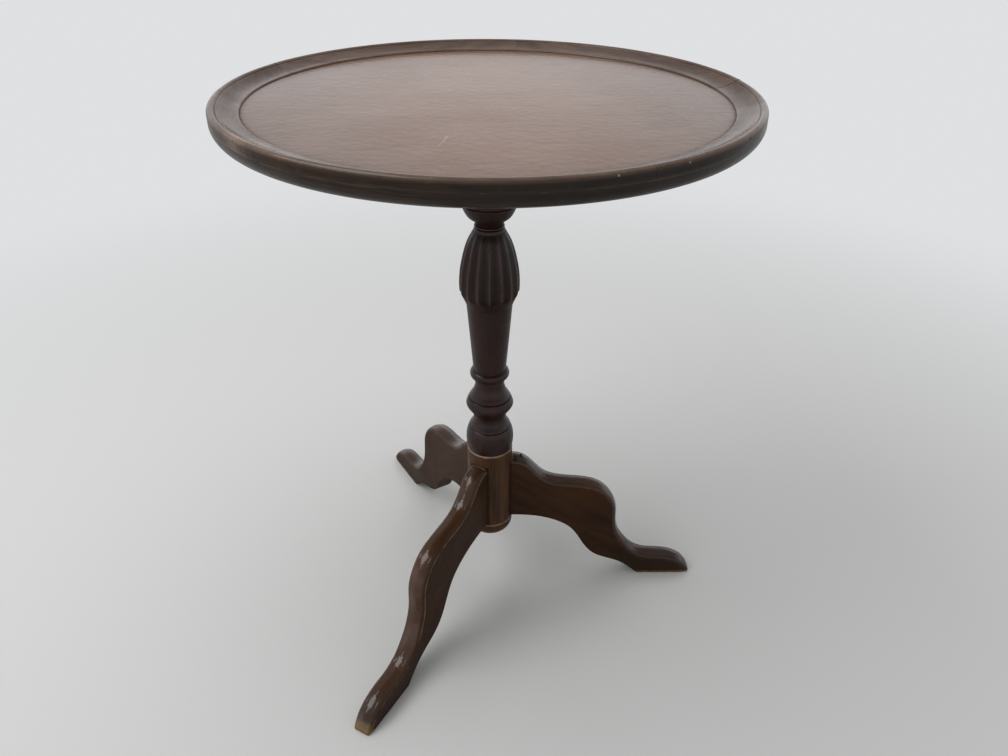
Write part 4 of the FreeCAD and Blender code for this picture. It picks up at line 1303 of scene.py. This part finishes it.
def field_finish(looks, sizes):
    """Brown varnish over straight grain above, darkened away from its middle for a painted reflection, a dark
    edge, and bare stained wood below.
    """
    wood = Wood(
        "varnished_field", looks.field_dark, looks.field_light, band=0.013, fineness=0.9, waver=0.006,
        contrast=(0.2, 0.82),
    )
    broad = wood.noise(wood.scaled(wood.spot, FIELD_CLOUD_SQUEEZE), 1.0, 3.0, 0.55)
    wood.dim(wood.between(broad, 0.62, 0.3, 0.0, 0.35), FIELD_CLOUD_SHADE)
    # Painted reflection: darker away from the middle of the field
    painted_sheen_distance = wood.apart(wood.scaled(wood.spot, FIELD_PAINTED_SHEEN_SHAPE))
    wood.dim(wood.between(painted_sheen_distance, FIELD_PAINTED_SHEEN_REACH, FIELD_PAINTED_SHADE_REACH, 0.0, 0.85), FIELD_PAINTED_SHADE)
    mottle = wood.noise(wood.scaled(wood.spot, FIELD_MOTTLE_SQUEEZE), 70.0, 5.0, 0.7)
    wood.dim(wood.between(mottle, 0.36, 0.64, 0.0, 0.3), FIELD_MOTTLE_SHADE)
    wood.dim_pores(0.55, FIELD_PORE_SHADE)
    for centre, radius, first, last, share in FIELD_SCRATCHES:
        mark = wood.group(
            long_scratch(), Place=wood.spot, Centre=centre, Radius=radius, Width=SCRATCH_WIDTH, From=first,
            To=last,
        )
        wood.paint(wood.times(mark["Scratch"], share), looks.filler)
    # Old polish in the hollows, and painted shade along the field's joint with the rim
    wood.dirt_and_shade(amount=0.85, shade=looks.grime_and_shade)
    # The outer edge takes the edge colour, with its painted shade and painted reflection
    outside = wood.between(wood.z, sizes.field_height - EDGE_STARTS, sizes.field_height - EDGE_FULL)
    wood.paint(outside, edge_tone(wood, looks))
    wood.wear(amount=0.3, patch=0.06, shade=looks.leg_worn, strength=0.16)
    beneath = wood.between(wood.z, sizes.board_under + UNDER_STARTS, sizes.board_under + UNDER_FULL)
    wood.paint(beneath, wood.mix(wood.tone, looks.under_dark, looks.under_light))
    return wood.finish(roughness=0.45, specular=0.06, coat=0.94, coat_roughness=0.16, dulled=0.1)


RIM_PORE_SHADE = (0.5, 0.42, 0.38)
# Depths below the top of the bead, and share of its width, in which it turns into the dark edge
BEAD_DARK_STARTS, BEAD_DARK_FULL = 0.0004, 0.0036
BEAD_OUTER_SHARE = 0.6


def rim_finish(looks, sizes):
    """Dark varnish on the rim, rubbed along the bead and dirty in the sunk lines."""
    wood = Wood("rubbed_rim", looks.rim_dark, looks.rim_light, band=0.016, fineness=1.0)
    wood.dim_pores(0.6, RIM_PORE_SHADE)
    # The bead's outer face takes the edge colour, with its painted shade and painted reflection
    low = wood.between(wood.z, sizes.rim_height - BEAD_DARK_STARTS, sizes.rim_height - BEAD_DARK_FULL)
    bead = sizes.top_radius - sizes.bead_width * BEAD_OUTER_SHARE
    outer = wood.between(wood.apart(wood.scaled(wood.spot, FLAT)), bead, sizes.top_radius)
    wood.paint(wood.times(low, outer), edge_tone(wood, looks))
    wood.paint(wood.times(wood.arris, 0.24), looks.rim_worn)
    wood.wear(amount=0.42, patch=0.016, shade=looks.rim_worn, strength=0.6)
    patchy = wood.noise(wood.spot, 120.0, 4.0, 0.65)
    rubbed = wood.between(wood.plus(wood.times(wood.rub, 0.75), patchy), 0.55, 1.3)
    wood.paint(wood.times(rubbed, 0.32), looks.rim_worn)
    wood.dirt_and_shade(amount=0.8, shade=toned(looks.grime_and_shade, 1.8))
    return wood.finish(roughness=0.45, specular=0.06, coat=0.9, coat_roughness=0.15)


COLUMN_RELIEF = 0.6 * GRAIN_RELIEF
COLUMN_PORE_SHADE = (0.5, 0.45, 0.42)


def column_finish(looks):
    """Near black stain on the turned column, a little lighter along the arrises."""
    wood = Wood("stained_turning", looks.column_dark, looks.column_light, band=0.012, fineness=1.2)
    wood.dim_pores(0.5, COLUMN_PORE_SHADE)
    wood.wear(amount=0.5, patch=0.012, shade=looks.column_worn, strength=0.6)
    wood.dirt_and_shade(amount=0.4, shade=toned(looks.grime_and_shade, 0.4))
    return wood.finish(
        roughness=0.4, relief=COLUMN_RELIEF, specular=0.08, coat_roughness=0.26, ripple=0.0003
    )


# Reach of the nail's ring of painted shade and stain, and of its chips
NAIL_SHADE_AND_STAIN, NAIL_SHADE_AND_STAIN_CORE = 0.0045, 0.0018
NAIL_CHIP, NAIL_CHIP_CORE = 0.00585, 0.0036
DUST_HEIGHT = 0.06
WARM_PLACE = (0.115, -0.011, 0.143)
WARM_REACH = 0.062
FRONT_LEG_NEAR, FRONT_LEG_FAR = -0.02, -0.05
RIGHT_LEG_NEAR, RIGHT_LEG_FAR = 0.02, 0.06
RIGHT_LEG_SHADE = (0.74, 0.80, 0.84)
LEG_CLOUD_SQUEEZE, LEG_CLOUD_SHADE = (7.0, 12.0, 9.0), (0.60, 0.52, 0.46)
LEG_PORE_SHADE = (0.45, 0.4, 0.36)


def leg_finish(looks):
    """Brown varnish on the legs, rubbed through along the arrises and at the toes."""
    wood = Wood(
        "rubbed_leg", looks.leg_dark, looks.leg_light, band=0.012, fineness=1.0, waver=0.007,
        contrast=(0.15, 0.85),
    )
    warm = wood.apart(wood.spot, WARM_PLACE)
    wood.paint(wood.between(warm, WARM_REACH, 0.0, 0.0, 0.55), looks.leg_warm)
    broad = wood.noise(wood.scaled(wood.timber, LEG_CLOUD_SQUEEZE), 1.0, 3.0, 0.6)
    wood.dim(wood.between(broad, 0.66, 0.34, 0.0, 0.6), LEG_CLOUD_SHADE)
    wood.dim_pores(0.6, LEG_PORE_SHADE)
    front = wood.between(wood.y, FRONT_LEG_NEAR, FRONT_LEG_FAR, 0.0, 0.16)
    wood.paint(wood.times(front, wood.polish), looks.leg_thin)
    wood.dim(wood.between(wood.x, RIGHT_LEG_NEAR, RIGHT_LEG_FAR, 0.0, 0.6), RIGHT_LEG_SHADE)
    wood.paint(wood.between(wood.z, DUST_HEIGHT, 0.0, 0.0, 0.45), looks.dust)
    wood.wear(amount=0.7, patch=0.010, shade=looks.leg_worn, strength=0.75)
    patchy = wood.times(wood.noise(wood.spot, 150.0, 4.0, 0.6), 0.55)
    bare = wood.between(wood.plus(wood.rub, patchy), 0.6, 1.15)
    wood.paint(bare, wood.mix(wood.fibre, toned(looks.toe_bare, 0.6), looks.toe_bare))
    nail = wood.apart(wood.spot, (NAIL_HIGH.x, 0.0, NAIL_HIGH.z))
    # A dark ring round the nail: painted shade of the hole it is sunk in, with a stain round it
    wood.paint(wood.between(nail, NAIL_SHADE_AND_STAIN, NAIL_SHADE_AND_STAIN_CORE), looks.grime_and_shade)
    chipped = wood.between(wood.noise(wood.spot, 620.0, 2.0), 0.52, 0.6)
    near = wood.between(nail, NAIL_CHIP, NAIL_CHIP_CORE)
    wood.paint(wood.times(chipped, wood.times(near, 0.6)), looks.leg_worn)
    # Old polish in the hollows, and painted shade at the root where the leg meets the drum
    wood.dirt_and_shade(amount=0.85, shade=looks.grime_and_shade)
    return wood.finish(
        roughness=0.45, specular=0.08, coat_roughness=0.13, ripple=0.00038, ripple_width=0.0042
    )


def drum_finish(looks):
    """The legs' varnish on the drum and its cap, with pale rubbed rings at their edges."""
    wood = Wood("rubbed_drum", looks.drum_dark, looks.drum_light, band=0.011, fineness=1.0)
    wood.dim_pores(0.6, LEG_PORE_SHADE)
    wood.wear(amount=0.74, patch=0.011, shade=looks.drum_worn, strength=0.95)
    # Old polish in the drum's corners, and painted shade beside the legs
    wood.dirt_and_shade(amount=0.9, shade=looks.grime_and_shade)
    return wood.finish(roughness=0.45, specular=0.08, coat=0.16, coat_roughness=0.3)


BARE_RELIEF = 1.5 * GRAIN_RELIEF
BARE_PORE_SHADE = (0.6, 0.5, 0.42)
BARE_CLOUD_SHADE = (0.62, 0.52, 0.44)


def bare_finish(looks):
    """Thinly stained wood under the top, with its grain across the board's."""
    wood = Wood("bare_cleat", looks.bare_dark, looks.bare_light, band=0.017, across=True)
    wood.dim_pores(0.5, BARE_PORE_SHADE)
    cloud = wood.noise(wood.spot, 16.0, 4.0, 0.6)
    wood.dim(wood.between(cloud, 0.45, 0.75, 0.0, 0.6), BARE_CLOUD_SHADE)
    return wood.finish(roughness=0.62, relief=BARE_RELIEF, coat=0.0, marks=0.2)


PUTTY_CLOUD_SHADE = (0.6, 0.55, 0.5)


def pin_finish(looks):
    """Putty over the pin heads: pale on some, dark with old polish on others."""
    wood = Wood("puttied_pin", looks.filler, looks.filler)
    wood.colour = wood.mix(wood.between(wood.rub, 0.35, 0.6), looks.rim_dark, wood.colour)
    wood.dim(wood.between(wood.noise(wood.spot, 800.0, 3.0), 0.35, 0.7), PUTTY_CLOUD_SHADE)
    wood.dirt_and_shade(amount=0.6, shade=looks.grime_and_shade)
    return wood.finish(roughness=0.5, coat=0.2)


def dull_metal(name, bright, rust):
    """Dull steel with specks of rust."""
    material = new_material(name)
    graph = Graph(material.node_tree)
    speck = graph.between(graph.noise(graph.place(), 900.0, 4.0, 0.65), 0.44, 0.62)
    graph.close(graph.fed(
        graph.node("ShaderNodeBsdfPrincipled"), Base_Color=graph.mix(speck, bright, rust),
        Metallic=graph.minus(1.0, graph.times(speck, 0.8)),
        Roughness=graph.between(speck, 0.0, 1.0, 0.4, 0.75), Normal=graph.bump(speck, 0.3, GRAIN_RELIEF),
    ))
    return material


# Floor, light and camera

FLOOR_SIDES = 96
HORIZON_RISE = 0.15
OVERHEAD_RISE = 0.55
# Lamps as (name, place, aim, size, power, whether the polish mirrors it)
LAMPS = (
    ("soft_overhead", (0.0, 0.9, 2.6), (0.0, 0.9, 0.0), (2.6, 3.2), "soft_power", False),
    ("key_left", (-1.3, -0.3, 2.05), (-0.05, -0.1, 0.15), (1.5, 1.4), "key_power", True),
    ("fill_front", (-1.5, -1.4, 1.25), (0.0, 0.0, 0.2), (1.8, 1.4), "fill_power", False),
)


def seen_ray(graph):
    """One where a camera, mirror or glass ray looks, and zero where light is gathered."""
    path = graph.node("ShaderNodeLightPath")
    seen = graph.maths("MAXIMUM", path.outputs["Is Camera Ray"], path.outputs["Is Glossy Ray"])
    return graph.maths("MAXIMUM", seen, path.outputs["Is Transmission Ray"])


def joined_shaders(graph, share, first, second):
    join = graph.node("ShaderNodeMixShader")
    for socket, value in zip(join.inputs, (share, first.outputs[0], second.outputs[0])):
        graph.feed(socket, value)
    return join


def lay_floor(stage):
    """A plain floor that turns into the background further out and keeps the table's shadow."""
    mesh = bpy.data.meshes.new("floor")
    edge = [tuple(level_out(turn) * stage.floor_radius) for turn in whole_turn(FLOOR_SIDES)]
    mesh.from_pydata(edge, [], [tuple(range(FLOOR_SIDES))])
    floor = bpy.data.objects.new("floor", mesh)
    bpy.context.scene.collection.objects.link(floor)
    material = new_material("pale_floor")
    graph = Graph(material.node_tree)
    fade = graph.between(graph.apart(graph.place()), stage.fade_start, stage.fade_end)
    plain = graph.fed(graph.node("ShaderNodeBsdfDiffuse"), Color=stage.floor_colour)
    glow = graph.fed(graph.node("ShaderNodeEmission"), Color=stage.background)
    graph.close(joined_shaders(graph, graph.times(fade, seen_ray(graph)), plain, glow))
    mesh.materials.append(material)


def hang_lamps(stage):
    for name, place, aim, size, strength, mirrored in LAMPS:
        lamp = bpy.data.lights.new(name, "AREA")
        lamp.shape = "RECTANGLE"
        lamp.size, lamp.size_y = size
        lamp.energy = getattr(stage, strength)
        hung = bpy.data.objects.new(name, lamp)
        hung.location = place
        hung.rotation_mode = "QUATERNION"
        hung.rotation_quaternion = (Vector(aim) - Vector(place)).to_track_quat("-Z", "Y")
        hung.visible_camera = False
        hung.visible_glossy = mirrored
        bpy.context.scene.collection.objects.link(hung)


def light_world(stage):
    """Even light for the wood, a pale background, and a room in the polish that darkens upwards."""
    world = bpy.data.worlds.new("studio")
    bpy.context.scene.world = world
    world.use_nodes = True
    graph = Graph(world.node_tree)
    graph.tree.nodes.clear()
    ambient = graph.fed(graph.node("ShaderNodeBackground"), Color=(1.0, 1.0, 1.0), Strength=stage.ambient)
    rise = graph.split(graph.node("ShaderNodeTexCoord").outputs["Generated"])["Z"]
    mirrored = graph.mix(graph.between(rise, HORIZON_RISE, OVERHEAD_RISE), stage.wall, stage.overhead)
    glossy = graph.node("ShaderNodeLightPath").outputs["Is Glossy Ray"]
    seen = graph.fed(
        graph.node("ShaderNodeBackground"), Color=graph.mix(glossy, stage.background, mirrored)
    )
    graph.close(joined_shaders(graph, seen_ray(graph), ambient, seen), "ShaderNodeOutputWorld")


def set_camera():
    lens = bpy.data.cameras.new("photo_camera")
    lens.sensor_width = SENSOR_WIDTH
    lens.lens = PHOTO_FOCAL / PHOTO_WIDTH * SENSOR_WIDTH
    camera = bpy.data.objects.new("photo_camera", lens)
    ahead = Vector((
        math.sin(CAMERA_YAW) * math.cos(CAMERA_PITCH),
        math.cos(CAMERA_YAW) * math.cos(CAMERA_PITCH),
        -math.sin(CAMERA_PITCH),
    ))
    level = Vector((math.cos(CAMERA_YAW), -math.sin(CAMERA_YAW), 0.0))
    upright = level.cross(ahead)
    right = level * math.cos(CAMERA_ROLL) + upright * math.sin(CAMERA_ROLL)
    up = upright * math.cos(CAMERA_ROLL) - level * math.sin(CAMERA_ROLL)
    camera.matrix_world = Matrix.Translation(CAMERA_PLACE) @ Matrix((right, up, -ahead)).transposed().to_4x4()
    bpy.context.scene.collection.objects.link(camera)
    bpy.context.scene.camera = camera


# Operators and panel


def table(context):
    return context.scene.tea_table_sizes, context.scene.tea_table_finishes


class TEATABLE_OT_top_board(bpy.types.Operator):
    """Make the round board with its varnished field"""

    bl_idname = "tea_table.top_board"
    bl_label = "Top Board"

    def execute(self, context):
        sizes, looks = table(context)
        board_skin(sizes).piece("tray_board", field_finish(looks, sizes), ["top_board"], "top_wood")
        return {"FINISHED"}


class TEATABLE_OT_rim(bpy.types.Operator):
    """Make the segments of the moulded rim and the heads of its pins"""

    bl_idname = "tea_table.rim"
    bl_label = "Rim"

    def execute(self, context):
        sizes, looks = table(context)
        finish = rim_finish(looks, sizes)
        for index, node in enumerate(RIM_NODES):
            rim_skin(sizes, index).piece("rim_moulding_%d" % (index + 1), finish, [node], "rim_wood")
        pins_skin(sizes).piece("rim_pin_heads", pin_finish(looks), ["rim_pins"], "steel")
        return {"FINISHED"}


class TEATABLE_OT_column(bpy.types.Operator):
    """Make the turned and fluted column"""

    bl_idname = "tea_table.column"
    bl_label = "Column"

    def execute(self, context):
        sizes, looks = table(context)
        column_skin(sizes).piece("turned_column", column_finish(looks), ["column"], "column_wood")
        return {"FINISHED"}


class TEATABLE_OT_drum(bpy.types.Operator):
    """Make the drum that carries the legs, and its cap"""

    bl_idname = "tea_table.drum"
    bl_label = "Drum and Cap"

    def execute(self, context):
        sizes, looks = table(context)
        finish = drum_finish(looks)
        drum_skin(sizes).piece("column_drum", finish, ["leg_drum"], "leg_wood")
        cap_skin(sizes).piece("drum_cap", finish, ["base_cap"], "leg_wood")
        return {"FINISHED"}


class TEATABLE_OT_legs(bpy.types.Operator):
    """Make the three sawn legs"""

    bl_idname = "tea_table.legs"
    bl_label = "Legs"

    def execute(self, context):
        sizes, looks = table(context)
        finish = leg_finish(looks)
        for index, node in enumerate(LEG_NODES):
            leg_skin(sizes, index).piece("sawn_" + node, finish, [node], "leg_wood")
        return {"FINISHED"}


class TEATABLE_OT_underframe(bpy.types.Operator):
    """Finish the cleat, its screws, the wedge and the nail, which keep their own shapes"""

    bl_idname = "tea_table.underframe"
    bl_label = "Cleat and Fasteners"

    def execute(self, context):
        looks = table(context)[1]
        bare = bare_finish(looks)
        finishes = {
            "cleat": bare,
            "tenon_wedge": bare,
            "cleat_screws": dull_metal("dull_steel", looks.steel, looks.steel_rust),
            "leg_nail": dull_metal("dark_iron", looks.iron, looks.grime_and_shade),
        }
        for node, finish in finishes.items():
            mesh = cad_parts[node].data
            mesh.materials.clear()
            mesh.materials.append(finish)
        return {"FINISHED"}


class TEATABLE_OT_stage(bpy.types.Operator):
    """Lay the pale floor, hang the lamps and set the camera"""

    bl_idname = "tea_table.stage"
    bl_label = "Stage"

    def execute(self, context):
        stage = context.scene.tea_table_stage
        lay_floor(stage)
        hang_lamps(stage)
        light_world(stage)
        set_camera()
        context.scene.view_settings.view_transform = "Standard"
        return {"FINISHED"}


OPERATORS = (
    TEATABLE_OT_top_board,
    TEATABLE_OT_rim,
    TEATABLE_OT_column,
    TEATABLE_OT_drum,
    TEATABLE_OT_legs,
    TEATABLE_OT_underframe,
    TEATABLE_OT_stage,
)


class TEATABLE_PT_panel(bpy.types.Panel):
    """Lists the pieces of the table"""

    bl_idname = "TEATABLE_PT_panel"
    bl_label = "Tea Table"
    bl_space_type = "VIEW_3D"
    bl_region_type = "UI"
    bl_category = "Tea Table"

    def draw(self, context):
        for operator in OPERATORS:
            self.layout.operator(operator.bl_idname)
        for group in (*table(context), context.scene.tea_table_stage):
            box = self.layout.box()
            for name in group.__annotations__:
                box.prop(group, name)


CLASSES = (TeaTableSizes, TeaTableFinishes, TeaTableStage, *OPERATORS, TEATABLE_PT_panel)


def register():
    for one in CLASSES:
        bpy.utils.register_class(one)
    bpy.types.Scene.tea_table_sizes = PointerProperty(type=TeaTableSizes)
    bpy.types.Scene.tea_table_finishes = PointerProperty(type=TeaTableFinishes)
    bpy.types.Scene.tea_table_stage = PointerProperty(type=TeaTableStage)


def unregister():
    del bpy.types.Scene.tea_table_stage
    del bpy.types.Scene.tea_table_finishes
    del bpy.types.Scene.tea_table_sizes
    for one in reversed(CLASSES):
        bpy.utils.unregister_class(one)


def main():
    register()
    bpy.ops.tea_table.top_board()
    bpy.ops.tea_table.rim()
    bpy.ops.tea_table.column()
    bpy.ops.tea_table.drum()
    bpy.ops.tea_table.legs()
    bpy.ops.tea_table.underframe()
    bpy.ops.tea_table.stage()


if __name__ == "__main__":
    main()
